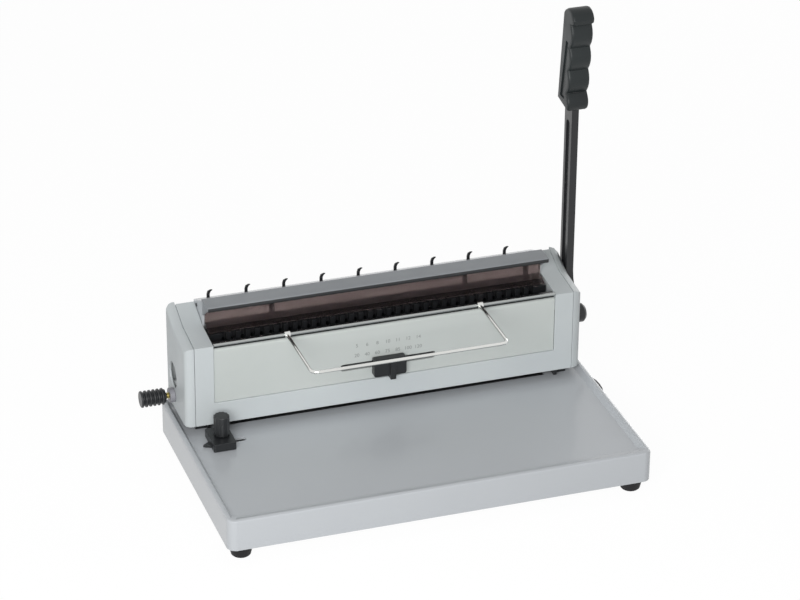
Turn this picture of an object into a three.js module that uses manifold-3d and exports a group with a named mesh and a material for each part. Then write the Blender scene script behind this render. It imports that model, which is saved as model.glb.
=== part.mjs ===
// Desktop wire binding machine with a punch, a wire closer and a hand lever.
// Millimetres. X runs to the right, Y to the rear and Z up. The machine stands on its feet at Z = 0.

import * as THREE from 'three';
import { mergeVertices } from 'three/addons/utils/BufferGeometryUtils.js';
import Module from 'manifold-3d';

const wasm = await Module();
wasm.setup();

// Driving dimensions
const baseWidth = 374;
const baseDepth = 216;
const baseHeight = 28.3;
const footHeight = 12;
const headInset = 6.3;
const headDepth = 63;
const frontHeight = 75.3;
const rearRise = 14.2;
const hoodHeight = 27.1;
const capWidth = 16.8;
const sideCoverWidth = 8.7;
const holePitch = 8.467;
const holeSize = 4.6;
const pinSize = 4;
const punchTravel = 11.86;

// Clearances
const gap = 0.3;
const cut = 2;

// Base
const baseWall = 2;
const baseCorner = 8;
const baseEdgeRadius = 2.5;
const rimWidth = 4;
const rimSlope = 3.5;
const frontSlope = 11;
const floorDrop = 4.5;

// Sheet and plate thicknesses of the head
const coverWall = 2;
const sheetWall = 1.6;
const frameWall = 3;
const throatGap = 3.7;
const shelfDepth = 36;
const shelfRise = 3.7;

// Levels and planes that several pieces share
const baseBottom = footHeight;
const baseTop = baseBottom + baseHeight;
const trayFloor = baseTop - floorDrop;
const trayUnderside = trayFloor - baseWall;
const baseSide = baseWidth / 2;
const headBottom = baseTop + throatGap;
const headRear = baseDepth;
const headFront = headRear - headDepth;
const frontTop = headBottom + frontHeight;
const shelfEnd = headFront + shelfDepth;
const shelfTop = frontTop + shelfRise;
const rearTop = frontTop + rearRise;
const hoodTop = frontTop + hoodHeight;
const coverOuter = baseSide - headInset;
const coverInner = coverOuter - sideCoverWidth;
const capOuter = coverInner - gap;
const capInner = capOuter - capWidth;
const channelHalf = capInner - gap;
const closerSideGap = 1.3;
const armWidth = 3;
const armInner = channelHalf - closerSideGap - armWidth;
const beamSideGap = 1;
const beamHalf = armInner - beamSideGap;
const springRadius = 2.9;
const springWire = 0.45;
const springX = beamHalf - springRadius - springWire + gap / 6;
const capRear = headRear - coverWall - gap;

// As many holes as fit between the return springs
const retainerEnd = springX - springRadius - springWire - gap;
const holeCount = Math.floor((2 * retainerEnd - pinSize - 2 * gap) / holePitch) + 1;
const punchRow = ((holeCount - 1) * holePitch) / 2;

// Materials
function finish(color, roughness, metalness) {
  return new THREE.MeshStandardMaterial({ color, roughness, metalness });
}

const greyPlastic = finish(0xb8bcbe, 0.45, 0);
const panelGrey = finish(0xc9cecb, 0.4, 0);
const darkGrey = finish(0x7b7f82, 0.5, 0);
const paleGrey = finish(0xa9aeb0, 0.5, 0);
const blackPlastic = finish(0x24272a, 0.5, 0);
const blackRubber = finish(0x1c1d1f, 0.8, 0);
const blackSteel = finish(0x1f2022, 0.4, 0.8);
const steel = finish(0x9b9ea1, 0.35, 0.9);
const chrome = finish(0xe4e6e8, 0.12, 1);
const brass = finish(0xb09a5a, 0.3, 0.9);
const bronze = finish(0x8d7448, 0.4, 0.9);
const smoked = new THREE.MeshStandardMaterial({
  color: 0x4a3336,
  roughness: 0.15,
  metalness: 0,
  transparent: true,
  opacity: 0.7,
});

const machine = new THREE.Group();

// Geometry helpers
function closed(geometry) {
  const bare = geometry.index ? geometry : geometry.clone();
  bare.deleteAttribute('normal');
  bare.deleteAttribute('uv');
  const merged = mergeVertices(bare);
  const place = merged.attributes.position;
  const index = Array.from(merged.index.array);
  const [a, b, c] = [new THREE.Vector3(), new THREE.Vector3(), new THREE.Vector3()];
  let volume = 0;
  for (let i = 0; i < index.length; i += 3) {
    a.fromBufferAttribute(place, index[i]);
    b.fromBufferAttribute(place, index[i + 1]);
    c.fromBufferAttribute(place, index[i + 2]);
    volume += a.dot(b.cross(c));
  }
  if (volume < 0) {
    index.reverse();
  }
  merged.setIndex(index);
  return merged;
}

function solid(geometry) {
  const merged = closed(geometry);
  const vertProperties = new Float32Array(merged.attributes.position.array);
  const triVerts = new Uint32Array(merged.index.array);
  return new wasm.Manifold(new wasm.Mesh({ numProp: 3, vertProperties, triVerts }));
}

function geometryOf(body) {
  const made = body.getMesh();
  const geometry = new THREE.BufferGeometry();
  geometry.setAttribute('position', new THREE.BufferAttribute(made.vertProperties, made.numProp));
  geometry.setIndex(Array.from(made.triVerts));
  return geometry;
}

function add(name, body, material) {
  const geometry = body.isBufferGeometry ? closed(body) : geometryOf(body);
  geometry.computeVertexNormals();
  const mesh = new THREE.Mesh(geometry, material);
  mesh.name = name;
  machine.add(mesh);
  return mesh;
}

function join(bodies) {
  return bodies.reduce((whole, body) => whole.add(body));
}

function cutAll(body, tools) {
  return tools.reduce((whole, tool) => whole.subtract(tool), body);
}

function polygon(points) {
  return new THREE.Shape(points.map(([a, b]) => new THREE.Vector2(a, b)));
}

function ring(radius, sides, a, b) {
  const points = [];
  for (let i = 0; i < sides; i += 1) {
    const angle = ((i + 0.5) / sides) * 2 * Math.PI;
    points.push([a + radius * Math.cos(angle), b + radius * Math.sin(angle)]);
  }
  return polygon(points);
}

function roundRect(a0, a1, b0, b1, radius) {
  const shape = new THREE.Shape();
  shape.moveTo(a0 + radius, b0);
  shape.lineTo(a1 - radius, b0);
  shape.absarc(a1 - radius, b0 + radius, radius, -Math.PI / 2, 0);
  shape.lineTo(a1, b1 - radius);
  shape.absarc(a1 - radius, b1 - radius, radius, 0, Math.PI / 2);
  shape.lineTo(a0 + radius, b1);
  shape.absarc(a0 + radius, b1 - radius, radius, Math.PI / 2, Math.PI);
  shape.lineTo(a0, b0 + radius);
  shape.absarc(a0 + radius, b0 + radius, radius, Math.PI, 1.5 * Math.PI);
  return shape;
}

function placed(geometry, xAxis, yAxis, zAxis, origin) {
  const basis = new THREE.Matrix4().makeBasis(xAxis, yAxis, zAxis).setPosition(origin);
  return geometry.applyMatrix4(basis);
}

const alongX = new THREE.Vector3(1, 0, 0);
const alongY = new THREE.Vector3(0, 1, 0);
const alongZ = new THREE.Vector3(0, 0, 1);

function extrude(shape, depth, options) {
  return new THREE.ExtrudeGeometry(shape, { depth, bevelEnabled: false, curveSegments: 4, ...options });
}

// A shape drawn in (y, z), from x0 to x1
function alongXFrom(shape, x0, x1, options) {
  const origin = new THREE.Vector3(x0, 0, 0);
  return placed(extrude(shape, x1 - x0, options), alongY, alongZ, alongX, origin);
}

// A shape drawn in (x, z), from y0 to y1
function alongYFrom(shape, y0, y1, options) {
  const origin = new THREE.Vector3(0, y1, 0);
  return placed(extrude(shape, y1 - y0, options), alongX, alongZ, alongY.clone().negate(), origin);
}

// A shape drawn in (x, y), from z0 to z1
function alongZFrom(shape, z0, z1, options) {
  const origin = new THREE.Vector3(0, 0, z0);
  return placed(extrude(shape, z1 - z0, options), alongX, alongY, alongZ, origin);
}

function box(x0, x1, y0, y1, z0, z1) {
  const block = new THREE.BoxGeometry(x1 - x0, y1 - y0, z1 - z0);
  return block.translate((x0 + x1) / 2, (y0 + y1) / 2, (z0 + z1) / 2);
}

function rodX(radius, sides, x0, x1, y, z) {
  return alongXFrom(ring(radius, sides, y, z), x0, x1);
}

function rodZ(radius, sides, z0, z1, x, y) {
  return alongZFrom(ring(radius, sides, x, y), z0, z1);
}

// A profile of [radius, height] points turned about a vertical axis
function turned(profile, sides) {
  const points = profile.map(([radius, height]) => new THREE.Vector2(radius, height));
  return new THREE.LatheGeometry(points, sides).rotateX(Math.PI / 2);
}

function turnedX(profile, sides, y, z) {
  return turned(profile, sides).rotateY(Math.PI / 2).translate(0, y, z);
}

// A body with the same number of points in each flat ring, closed at both ends
function loft(rings) {
  const count = rings[0].length;
  const vertices = rings.flat().flatMap((point) => [point.x, point.y, point.z]);
  const index = [];
  for (let level = 0; level + 1 < rings.length; level += 1) {
    for (let i = 0; i < count; i += 1) {
      const next = (i + 1) % count;
      const [a, b] = [level * count + i, level * count + next];
      index.push(a, b, b + count, a, b + count, a + count);
    }
  }
  const outline = rings[0].map((point) => new THREE.Vector2(point.x, point.y));
  const last = (rings.length - 1) * count;
  for (const [a, b, c] of THREE.ShapeUtils.triangulateShape(outline, [])) {
    index.push(c, b, a, last + a, last + b, last + c);
  }
  const geometry = new THREE.BufferGeometry();
  geometry.setAttribute('position', new THREE.Float32BufferAttribute(vertices, 3));
  geometry.setIndex(index);
  return geometry;
}

function ringAt(shape, z, segments) {
  return shape.getPoints(segments).map((point) => new THREE.Vector3(point.x, point.y, z));
}

// The centres of the punched holes along X
const holePlaces = Array.from({ length: holeCount }, (unused, i) => i * holePitch - punchRow);

// One edge of a comb: the line from x0 to x1 at level, with a slot of the given width at each hole
function combEdge(x0, x1, level, slotWidth, slotDepth) {
  const points = [[x0, level]];
  for (const x of holePlaces) {
    points.push([x - slotWidth / 2, level], [x - slotWidth / 2, level - slotDepth]);
    points.push([x + slotWidth / 2, level - slotDepth], [x + slotWidth / 2, level]);
  }
  points.push([x1, level]);
  return points;
}

// Base tray
const dieSetback = 18.25;
const dieSideGap = 4.9;
const dieFront = 9;
const dieBack = 9;
const drawerSetback = 43.25;
const drawerDepth = 60;
const drawerHeight = 13.4;
const plateThickness = 1.5;
const recessCorner = 4;
const guideInset = 32.8;
const guideSetback = 18;
const studRadius = 2.5;
const studSlotLeft = 3.5;
const guideTravel = 18;

const dieY = headFront + dieSetback;
const dieHalf = channelHalf - dieSideGap;
const guideX = -baseSide + guideInset;
const guideY = headFront - guideSetback;
const drawerFront = dieY - drawerSetback;
const drawerBottom = baseBottom + plateThickness + 2 * gap;
const drawerTop = drawerBottom + drawerHeight;
const drawerBack = drawerFront + drawerDepth;

function baseTray() {
  const outline = roundRect(-baseSide, baseSide, 0, baseDepth, baseCorner);
  const shell = solid(
    alongZFrom(outline, baseBottom, baseTop - baseEdgeRadius, {
      bevelEnabled: true,
      bevelThickness: baseEdgeRadius,
      bevelSize: baseEdgeRadius,
      bevelOffset: -baseEdgeRadius,
      bevelSegments: 2,
    }),
  );
  const below = solid(box(-baseWidth, baseWidth, -baseDepth, 2 * baseDepth, -baseHeight, baseBottom));
  const inside = baseSide - baseWall;
  const hollow = solid(
    alongZFrom(
      roundRect(-inside, inside, baseWall, baseDepth - baseWall, baseCorner - baseWall),
      baseBottom - cut,
      trayUnderside,
    ),
  );
  const brim = baseSide - rimWidth;
  const floorSide = brim - rimSlope;
  const rear = baseDepth - baseWall;
  const brimShape = roundRect(-brim, brim, rimWidth, rear, recessCorner);
  const floorShape = roundRect(-floorSide, floorSide, rimWidth + frontSlope, rear, recessCorner);
  const recess = solid(
    loft([
      ringAt(floorShape, trayFloor, recessCorner),
      ringAt(brimShape, baseTop, recessCorner),
      ringAt(brimShape, baseTop + cut, recessCorner),
    ]),
  );
  const dieWindow = solid(
    box(-dieHalf - gap, dieHalf + gap, dieY - dieFront, dieY + dieBack, trayUnderside - cut, baseTop),
  );
  const slotHalf = studRadius + gap;
  const studSlot = solid(
    alongZFrom(
      roundRect(
        guideX - studSlotLeft,
        guideX + guideTravel + studSlotLeft,
        guideY - slotHalf,
        guideY + slotHalf,
        slotHalf - gap,
      ),
      trayUnderside - cut,
      baseTop,
    ),
  );
  const drawerWindow = solid(
    box(inside - cut, baseSide + cut, drawerFront - gap, drawerBack + gap, drawerBottom - gap, drawerTop + gap),
  );
  return cutAll(shell, [below, hollow, recess, dieWindow, studSlot, drawerWindow]);
}

add('base_tray', baseTray(), greyPlastic);

// Base plate and the four feet, each with a recess for its screw
const footInset = 14;
const footTopRadius = 10.8;
const footBottomRadius = 8.4;
const footEdge = 1.2;
const footScrewRadius = 3;
const footScrewDepth = 5;
const footSides = 20;
const screwSides = 8;

function basePlate() {
  const inside = baseSide - baseWall - gap;
  const near = baseWall + gap;
  const shape = roundRect(-inside, inside, near, baseDepth - near, baseCorner - near);
  return alongZFrom(shape, baseBottom, baseBottom + plateThickness);
}

add('base_plate', basePlate(), steel);

const footPlaces = [
  ['foot_front_left', -baseSide + footInset, footInset],
  ['foot_front_right', baseSide - footInset, footInset],
  ['foot_rear_left', -baseSide + footInset, baseDepth - footInset],
  ['foot_rear_right', baseSide - footInset, baseDepth - footInset],
];

function foot() {
  return turned(
    [
      [0, footScrewDepth],
      [footScrewRadius, footScrewDepth],
      [footScrewRadius, 0],
      [footBottomRadius - footEdge, 0],
      [footBottomRadius, footEdge],
      [footTopRadius, footHeight - gap],
      [0, footHeight - gap],
    ],
    footSides,
  );
}

for (const [name, x, y] of footPlaces) {
  add(name, foot(), blackRubber).position.set(x, y, 0);
}

// Chip drawer, its rails and its pull
const drawerWall = 1.5;
const drawerInset = 37;
const drawerLip = 2;
const drawerFace = 1.8;
const railHeight = 6;
const pullLength = 34;
const pullReach = 8;
const pullHeight = 11;
const pullScoop = 3;

const drawerLeft = -baseSide + drawerInset;
const pullFront = drawerFront + drawerLip;

function chipDrawer() {
  const faceX = baseSide + gap;
  const body = join([
    solid(box(drawerLeft, faceX + drawerWall, drawerFront, drawerBack, drawerBottom, drawerTop)),
    solid(
      box(
        faceX,
        faceX + drawerFace,
        drawerFront - drawerLip,
        drawerBack + drawerLip,
        drawerBottom - drawerWall,
        drawerTop + drawerWall,
      ),
    ),
  ]);
  const inside = solid(
    box(
      drawerLeft + drawerWall,
      baseSide - drawerWall,
      drawerFront + drawerWall,
      drawerBack - drawerWall,
      drawerBottom + drawerWall,
      drawerTop + cut,
    ),
  );
  return body.subtract(inside);
}

add('chip_drawer', chipDrawer(), greyPlastic);

function drawerPull() {
  const back = baseSide + gap + drawerFace + gap;
  const middle = pullFront + pullLength / 2;
  const plan = new THREE.Shape();
  plan.moveTo(back, pullFront);
  plan.quadraticCurveTo(back + pullReach, pullFront, back + pullReach, middle);
  plan.quadraticCurveTo(back + pullReach, pullFront + pullLength, back, pullFront + pullLength);
  const low = drawerBottom + drawerWall;
  const body = solid(alongZFrom(plan, low, low + pullHeight));
  const scoop = solid(
    box(back + pullScoop, back + pullReach - drawerWall, pullFront + pullReach,
      pullFront + pullLength - pullReach, low - cut, low + pullHeight - pullScoop),
  );
  return body.subtract(scoop);
}

add('drawer_pull', drawerPull(), blackPlastic);

function drawerRail(y) {
  const low = baseBottom + plateThickness + gap;
  const right = baseSide - baseWall - gap;
  return box(drawerLeft, right, y, y + drawerWall, low, low + railHeight);
}

add('drawer_rail_front', drawerRail(drawerFront - gap - drawerWall), steel);
add('drawer_rail_rear', drawerRail(drawerBack + gap), steel);

// Punch plates: the die below the sheet slot, the guide above it and the back stop between them
const dieThickness = 7.3;
const dieFlange = 4.8;
const slotHeight = 5;
const guideThickness = 5;
const guideFront = 10.2;
const guideBack = 9.8;
const stopOffset = 5.5;
const edgeStopInset = 6.1;
const edgeStopWidth = 6;

const edgeStopX = -channelHalf + edgeStopInset;
const punchPlateHalf = capInner + coverWall + gap;
const guideBottom = trayFloor + slotHeight;

function holeTools(z0, z1) {
  const half = holeSize / 2;
  return holePlaces.map((x) => solid(box(x - half, x + half, dieY - half, dieY + half, z0 - cut, z1 + cut)));
}

function diePlate() {
  const flangeTop = trayUnderside - gap;
  const bottom = trayFloor - dieThickness;
  const profile = polygon([
    [dieY - dieFront - dieFlange, bottom],
    [dieY + dieBack + dieFlange, bottom],
    [dieY + dieBack + dieFlange, flangeTop],
    [dieY + dieBack - gap, flangeTop],
    [dieY + dieBack - gap, trayFloor],
    [dieY - dieFront + gap, trayFloor],
    [dieY - dieFront + gap, flangeTop],
    [dieY - dieFront - dieFlange, flangeTop],
  ]);
  return cutAll(solid(alongXFrom(profile, -dieHalf, dieHalf)), holeTools(bottom, trayFloor));
}

add('die_plate', diePlate(), steel);

function guidePlate() {
  const top = guideBottom + guideThickness;
  const plate = solid(
    box(-punchPlateHalf, punchPlateHalf, dieY - guideFront, dieY + guideBack, guideBottom, top),
  );
  return cutAll(plate, holeTools(guideBottom, top));
}

add('guide_plate', guidePlate(), blackSteel);

add(
  'back_stop',
  box(
    edgeStopX + edgeStopWidth + holeSize / 2,
    punchPlateHalf,
    dieY + stopOffset,
    dieY + guideBack,
    trayFloor + gap,
    guideBottom - gap,
  ),
  steel,
);

// Shaft, bearings and pinions
const shaftRise = 39.7;
const shaftSetback = 40;
const shaftRadius = 5;
const shaftSides = 24;
const runningFit = 0.1;
const shaftStub = 5;
const bearingRadius = 8;
const bearingFlange = 10.5;
const bearingFlangeWidth = 1.5;
const toothModule = 1;
const toothCount = 16;
const addendum = 0.85;
const dedendum = 1.25;
const backlash = 0.15;
const meshGap = 0.06;
const pressureAngle = (20 * Math.PI) / 180;
const flankSteps = 3;
const pinionOverhang = 0.7;
const rackWidth = 5;

const shaftZ = trayFloor + shaftRise;
const shaftY = headFront + shaftSetback;
const pinionInner = beamHalf - rackWidth - gap;
const pinionOuter = armInner + armWidth + pinionOverhang;
const framePlateInner = punchPlateHalf + gap;
const framePlateOuter = framePlateInner + frameWall;
const pitchRadius = (toothModule * toothCount) / 2;
const toothPitch = Math.PI * toothModule;

function gearShape(centreY, centreZ) {
  const baseRadius = pitchRadius * Math.cos(pressureAngle);
  const involute = (angle) => Math.tan(angle) - angle;
  const halfAtPitch = (toothPitch / 2 - backlash) / (2 * pitchRadius);
  const halfAt = (radius) => {
    const angle = Math.acos(Math.min(1, baseRadius / radius));
    return halfAtPitch + involute(pressureAngle) - involute(angle);
  };
  const tip = pitchRadius + addendum;
  const radii = [pitchRadius - dedendum];
  for (let i = 0; i <= flankSteps; i += 1) {
    radii.push(baseRadius + ((tip - baseRadius) * i) / flankSteps);
  }
  const points = [];
  for (let tooth = 0; tooth < toothCount; tooth += 1) {
    const middle = (tooth / toothCount) * 2 * Math.PI;
    const rising = radii.map((radius) => [radius, middle - halfAt(Math.max(radius, baseRadius))]);
    const falling = radii.map((radius) => [radius, middle + halfAt(Math.max(radius, baseRadius))]);
    for (const [radius, angle] of rising.concat(falling.reverse())) {
      points.push([centreY + radius * Math.cos(angle), centreZ + radius * Math.sin(angle)]);
    }
  }
  return polygon(points);
}

// Rack teeth as [along, height above the pitch line] points, with a gap at zero
function rackTeeth(first, last) {
  const half = (toothPitch / 2 - backlash) / 2;
  const slope = Math.tan(pressureAngle);
  const points = [];
  for (let k = first; k <= last; k += 1) {
    const middle = (k + 0.5) * toothPitch;
    points.push([middle - half - dedendum * slope, -dedendum]);
    points.push([middle - half + addendum * slope, addendum]);
    points.push([middle + half - addendum * slope, addendum]);
    points.push([middle + half + dedendum * slope, -dedendum]);
  }
  return points;
}

const leverX0 = coverOuter + 2 * gap + gap / 2;
const leverThickness = 6.5;
const boltLength = 10.8;

function driveShaft() {
  const [x0, x1] = [-coverInner - shaftStub, leverX0 + leverThickness + coverWall];
  return rodX(shaftRadius, shaftSides, x0, x1, shaftY, shaftZ);
}

add('drive_shaft', driveShaft(), steel);

function bearing(side) {
  const [inner, outer] = [framePlateInner + gap, framePlateOuter];
  const flangeEnd = outer + bearingFlangeWidth;
  const bush = join([
    solid(rodX(bearingRadius - gap, shaftSides, side > 0 ? inner : -flangeEnd,
      side > 0 ? flangeEnd : -inner, shaftY, shaftZ)),
    solid(rodX(bearingFlange, shaftSides, side > 0 ? outer + gap : -flangeEnd,
      side > 0 ? flangeEnd : -outer - gap, shaftY, shaftZ)),
  ]);
  const bore = solid(rodX(shaftRadius + runningFit, shaftSides, side > 0 ? inner - cut : -flangeEnd - cut,
    side > 0 ? flangeEnd + cut : -inner + cut, shaftY, shaftZ));
  return bush.subtract(bore);
}

add('left_bearing', bearing(-1), bronze);
add('right_bearing', bearing(1), bronze);

function pinion(side) {
  const [x0, x1] = side > 0 ? [pinionInner, pinionOuter] : [-pinionOuter, -pinionInner];
  const gear = solid(alongXFrom(gearShape(shaftY, shaftZ), x0, x1));
  const bore = solid(rodX(shaftRadius + runningFit, shaftSides, x0 - cut, x1 + cut, shaftY, shaftZ));
  return gear.subtract(bore);
}

add('pinion_left', pinion(-1), steel);
add('pinion_right', pinion(1), steel);

// Frame plates: they stand on the tray floor and carry the shaft, the guide plate and both slides
const plateInset = 5.5;
const plateTopInset = 2;
const plateFootWidth = 9.5;
const plateFootInset = 4;
const beamFront = 5.25;
const beamThickness = 10;
const beamBottom = 30.2;
const beamHeight = 18;
const tongueInset = 2;
const tongueHeight = 14;
const tongueFit = 0.5;
const closerTravel = punchTravel;
const guideTongueZ = 60.2;
const guideTongueHeight = 5;
const guideTongueFront = 9;
const guideTongueLength = 14;
const screwRadius = 2.5;
const screwAhead = 2.5;
const screwRise = 21.7;

const plateFront = headFront + plateInset;
const plateRear = headRear - plateInset;
const screwY = shaftY - screwAhead;
const screwZ = trayFloor + screwRise;
const beamY = dieY - beamFront;
const beamZ = trayFloor + beamBottom;

// The shelf and the rising rear of the end caps, lowered by a wall thickness
function capTop(y, drop) {
  if (y <= shelfEnd) {
    return frontTop - drop + (shelfRise * (y - headFront)) / shelfDepth;
  }
  return shelfTop - drop + ((rearTop - shelfTop) * (y - shelfEnd)) / (headRear - shelfEnd);
}

function framePlate(side) {
  const drop = coverWall + plateTopInset;
  const outline = polygon([
    [plateFront, trayFloor + gap],
    [plateRear, trayFloor + gap],
    [plateRear, capTop(plateRear, drop)],
    [shelfEnd, capTop(shelfEnd, drop)],
    [plateFront, capTop(plateFront, drop)],
  ]);
  const [x0, x1] = side > 0 ? [framePlateInner, framePlateOuter] : [-framePlateOuter, -framePlateInner];
  const footX = side > 0 ? framePlateOuter - gap : -framePlateOuter - plateFootWidth;
  const plate = join([
    solid(alongXFrom(outline, x0, x1)),
    solid(
      box(footX, footX + plateFootWidth + gap, plateFront + plateFootInset, plateRear - plateFootInset,
        trayFloor + gap, trayFloor + gap + frameWall),
    ),
  ]);
  const tongueLow = beamZ + tongueInset - punchTravel - tongueFit;
  const tongueHigh = beamZ + tongueInset + tongueHeight + tongueFit;
  const slideZ = trayFloor + guideTongueZ;
  const slideFront = shaftY - guideTongueFront - closerTravel - tongueFit;
  const slideRear = shaftY - guideTongueFront + guideTongueLength + tongueFit;
  const tools = [
    solid(rodX(bearingRadius, shaftSides, x0 - cut, x1 + cut, shaftY, shaftZ)),
    solid(box(x0 - cut, x1 + cut, beamY + tongueInset - tongueFit, beamY + beamThickness - tongueInset
      + tongueFit, tongueLow, tongueHigh)),
    solid(box(x0 - cut, x1 + cut, slideFront, slideRear, slideZ - tongueFit,
      slideZ + guideTongueHeight + tongueFit)),
  ];
  if (side < 0) {
    tools.push(solid(rodX(screwRadius + 2 * gap, screwSides, x0 - cut, x1 + cut, screwY, screwZ)));
  }
  return cutAll(plate, tools);
}

add('left_frame_plate', framePlate(-1), steel);
add('right_frame_plate', framePlate(1), steel);

// Punch beam with its racks, pins and return springs
const tongueReach = frameWall + gap;
const rackFirst = -1;
const rackLast = 4;
const pinTip = 5.6;
const retainerHeight = 2.5;
const springTurns = 7;
const springSteps = 8;
const springSides = 5;

function punchBeam() {
  const reach = framePlateInner + tongueReach;
  return join([
    solid(box(-beamHalf, beamHalf, beamY, beamY + beamThickness, beamZ, beamZ + beamHeight)),
    solid(
      box(-reach, reach, beamY + tongueInset, beamY + beamThickness - tongueInset, beamZ + tongueInset,
        beamZ + tongueInset + tongueHeight),
    ),
  ]);
}

add('punch_beam', punchBeam(), steel);

function punchRack(side) {
  const pitchLine = shaftY - pitchRadius - meshGap;
  const back = beamY + beamThickness + gap;
  const teeth = rackTeeth(rackFirst, rackLast).map(([along, height]) => [pitchLine + height, shaftZ + along]);
  const [low, high] = [teeth[0][1] - gap, teeth[teeth.length - 1][1] + gap];
  const root = pitchLine - dedendum;
  const shape = polygon([[back, low], [root, low], ...teeth, [root, high], [back, high]]);
  const [x0, x1] = side > 0 ? [beamHalf - rackWidth, beamHalf] : [-beamHalf, -beamHalf + rackWidth];
  return alongXFrom(shape, x0, x1);
}

add('punch_rack_left', punchRack(-1), steel);
add('punch_rack_right', punchRack(1), steel);

function punchPins() {
  const half = pinSize / 2;
  const [reach, top] = [punchRow + half + gap, beamZ - gap];
  const pins = holePlaces.map((x) =>
    solid(box(x - half, x + half, dieY - half, dieY + half, trayFloor + pinTip, top)),
  );
  const strip = solid(box(-reach, reach, dieY - pinSize, dieY + pinSize, top - retainerHeight, top));
  return join([strip, ...pins]);
}

add('punch_pins', punchPins(), chrome);

class Helix extends THREE.Curve {
  constructor(radius, turns, x, y, z0, z1) {
    super();
    Object.assign(this, { radius, turns, x, y, z0, z1 });
  }

  getPoint(t, target = new THREE.Vector3()) {
    const angle = t * this.turns * 2 * Math.PI;
    return target.set(
      this.x + this.radius * Math.cos(angle),
      this.y + this.radius * Math.sin(angle),
      this.z0 + (this.z1 - this.z0) * t,
    );
  }
}

function punchSpring(side) {
  const low = guideBottom + guideThickness + gap + springWire;
  const high = beamZ - gap - springWire;
  const path = new Helix(springRadius, springTurns, side * springX, dieY, low, high);
  return new THREE.ExtrudeGeometry(ring(springWire, springSides, 0, 0), {
    steps: springTurns * springSteps,
    bevelEnabled: false,
    extrudePath: path,
  });
}

add('punch_spring_left', punchSpring(-1), steel);
add('punch_spring_right', punchSpring(1), steel);

// Wire closer: a toothed bar on two arms, whose racks run on top of the pinions
const restTop = 76.2;
const closerBarHeight = 6.7;
const closerBarFront = 20.7;
const closerBarDepth = 13.3;
const closerSlot = 4.4;
const closerSlotDepth = 6;
const armLimb = 7.25;
const armFront = 23;
const armPost = 12;
const crossbarZ = 58.2;
const crossbarHeight = 7;
const crossbarDepth = 8;
const crossbarFront = 25;

const closerBarZ = trayFloor + restTop + gap;
const closerBarY = headFront + closerBarFront;

function closingBar() {
  const reach = armInner + armWidth;
  const front = combEdge(-reach, reach, -closerBarY, closerSlot, closerSlotDepth);
  const points = front.map(([x, y]) => [x, -y]);
  const back = closerBarY + closerBarDepth;
  points.push([reach, back], [-reach, back]);
  return alongZFrom(polygon(points), closerBarZ, closerBarZ + closerBarHeight);
}

add('closing_bar', closingBar(), blackSteel);

function closerArm(side) {
  const pitchLine = shaftZ + pitchRadius + meshGap;
  const root = pitchLine + dedendum;
  const teeth = rackTeeth(rackFirst - 1, rackLast).map(([along, height]) => [shaftY + along, pitchLine - height]);
  const [low, high] = [teeth[0][0] - gap, teeth[teeth.length - 1][0] + gap];
  const front = headFront + armFront;
  const limbTop = root + armLimb;
  const shape = polygon([
    [low, root],
    ...teeth,
    [high, root],
    [high, limbTop],
    [front + armPost, limbTop],
    [front + armPost, closerBarZ - gap],
    [front, closerBarZ - gap],
    [front, limbTop - armLimb / 2],
    [low, limbTop - armLimb / 2],
  ]);
  const [x0, x1] = side > 0 ? [armInner, armInner + armWidth] : [-armInner - armWidth, -armInner];
  const reach = framePlateInner + tongueReach;
  const [t0, t1] = side > 0 ? [x1 - gap, reach] : [-reach, x0 + gap];
  const tongueY = shaftY - guideTongueFront;
  const tongueZ = trayFloor + guideTongueZ;
  return join([
    solid(alongXFrom(shape, x0, x1)),
    solid(box(t0, t1, tongueY, tongueY + guideTongueLength, tongueZ, tongueZ + guideTongueHeight)),
    solid(box(x0, x1, front, tongueY + guideTongueLength, tongueZ - gap, tongueZ + guideTongueHeight + gap)),
  ]);
}

add('closer_arm_left', closerArm(-1), steel);
add('closer_arm_right', closerArm(1), steel);

add(
  'closer_crossbar',
  box(
    -armInner + gap,
    armInner - gap,
    headFront + crossbarFront,
    headFront + crossbarFront + crossbarDepth,
    trayFloor + crossbarZ,
    trayFloor + crossbarZ + crossbarHeight,
  ),
  steel,
);

// Wire rest and front jaw, the fixed combs of the channel
const wireRestHeight = 7.7;
const wireRestDepth = 29;
const wireRestSlot = 3.2;
const wireRestSlotDepth = 4;
const jawFront = 5.6;
const jawThickness = 2.8;
const jawHeight = 15;
const jawSlot = 4.2;
const jawSlotDepth = 3;

function wireRest() {
  const half = armInner - gap - gap / 2;
  const top = trayFloor + restTop;
  const points = combEdge(-half, half, top, wireRestSlot, wireRestSlotDepth);
  points.push([half, top - wireRestHeight], [-half, top - wireRestHeight]);
  const front = headFront + jawFront + jawThickness + gap;
  return alongYFrom(polygon(points), front, front + wireRestDepth);
}

add('wire_rest', wireRest(), blackPlastic);

function frontJaw() {
  const top = trayFloor + restTop + closerBarHeight + gap;
  const points = combEdge(-channelHalf, channelHalf, top, jawSlot, jawSlotDepth);
  points.push([channelHalf, top - jawHeight], [-channelHalf, top - jawHeight]);
  return alongYFrom(polygon(points), headFront + jawFront, headFront + jawFront + jawThickness);
}

add('front_jaw', frontJaw(), blackSteel);

// Front frame: the lower rail and both end caps, one moulding
const railHeight2 = 20;
const railLedge = 4;
const railLip = 6;
const capReturn = 16;

function capProfile(inset) {
  return polygon([
    [headFront + inset, inset ? headBottom - cut : headBottom],
    [inset ? capRear + cut : capRear, inset ? headBottom - cut : headBottom],
    [inset ? capRear + cut : capRear, capTop(inset ? capRear + cut : capRear, inset)],
    [shelfEnd, capTop(shelfEnd, inset)],
    [headFront + inset, capTop(headFront + inset, inset)],
  ]);
}

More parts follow.
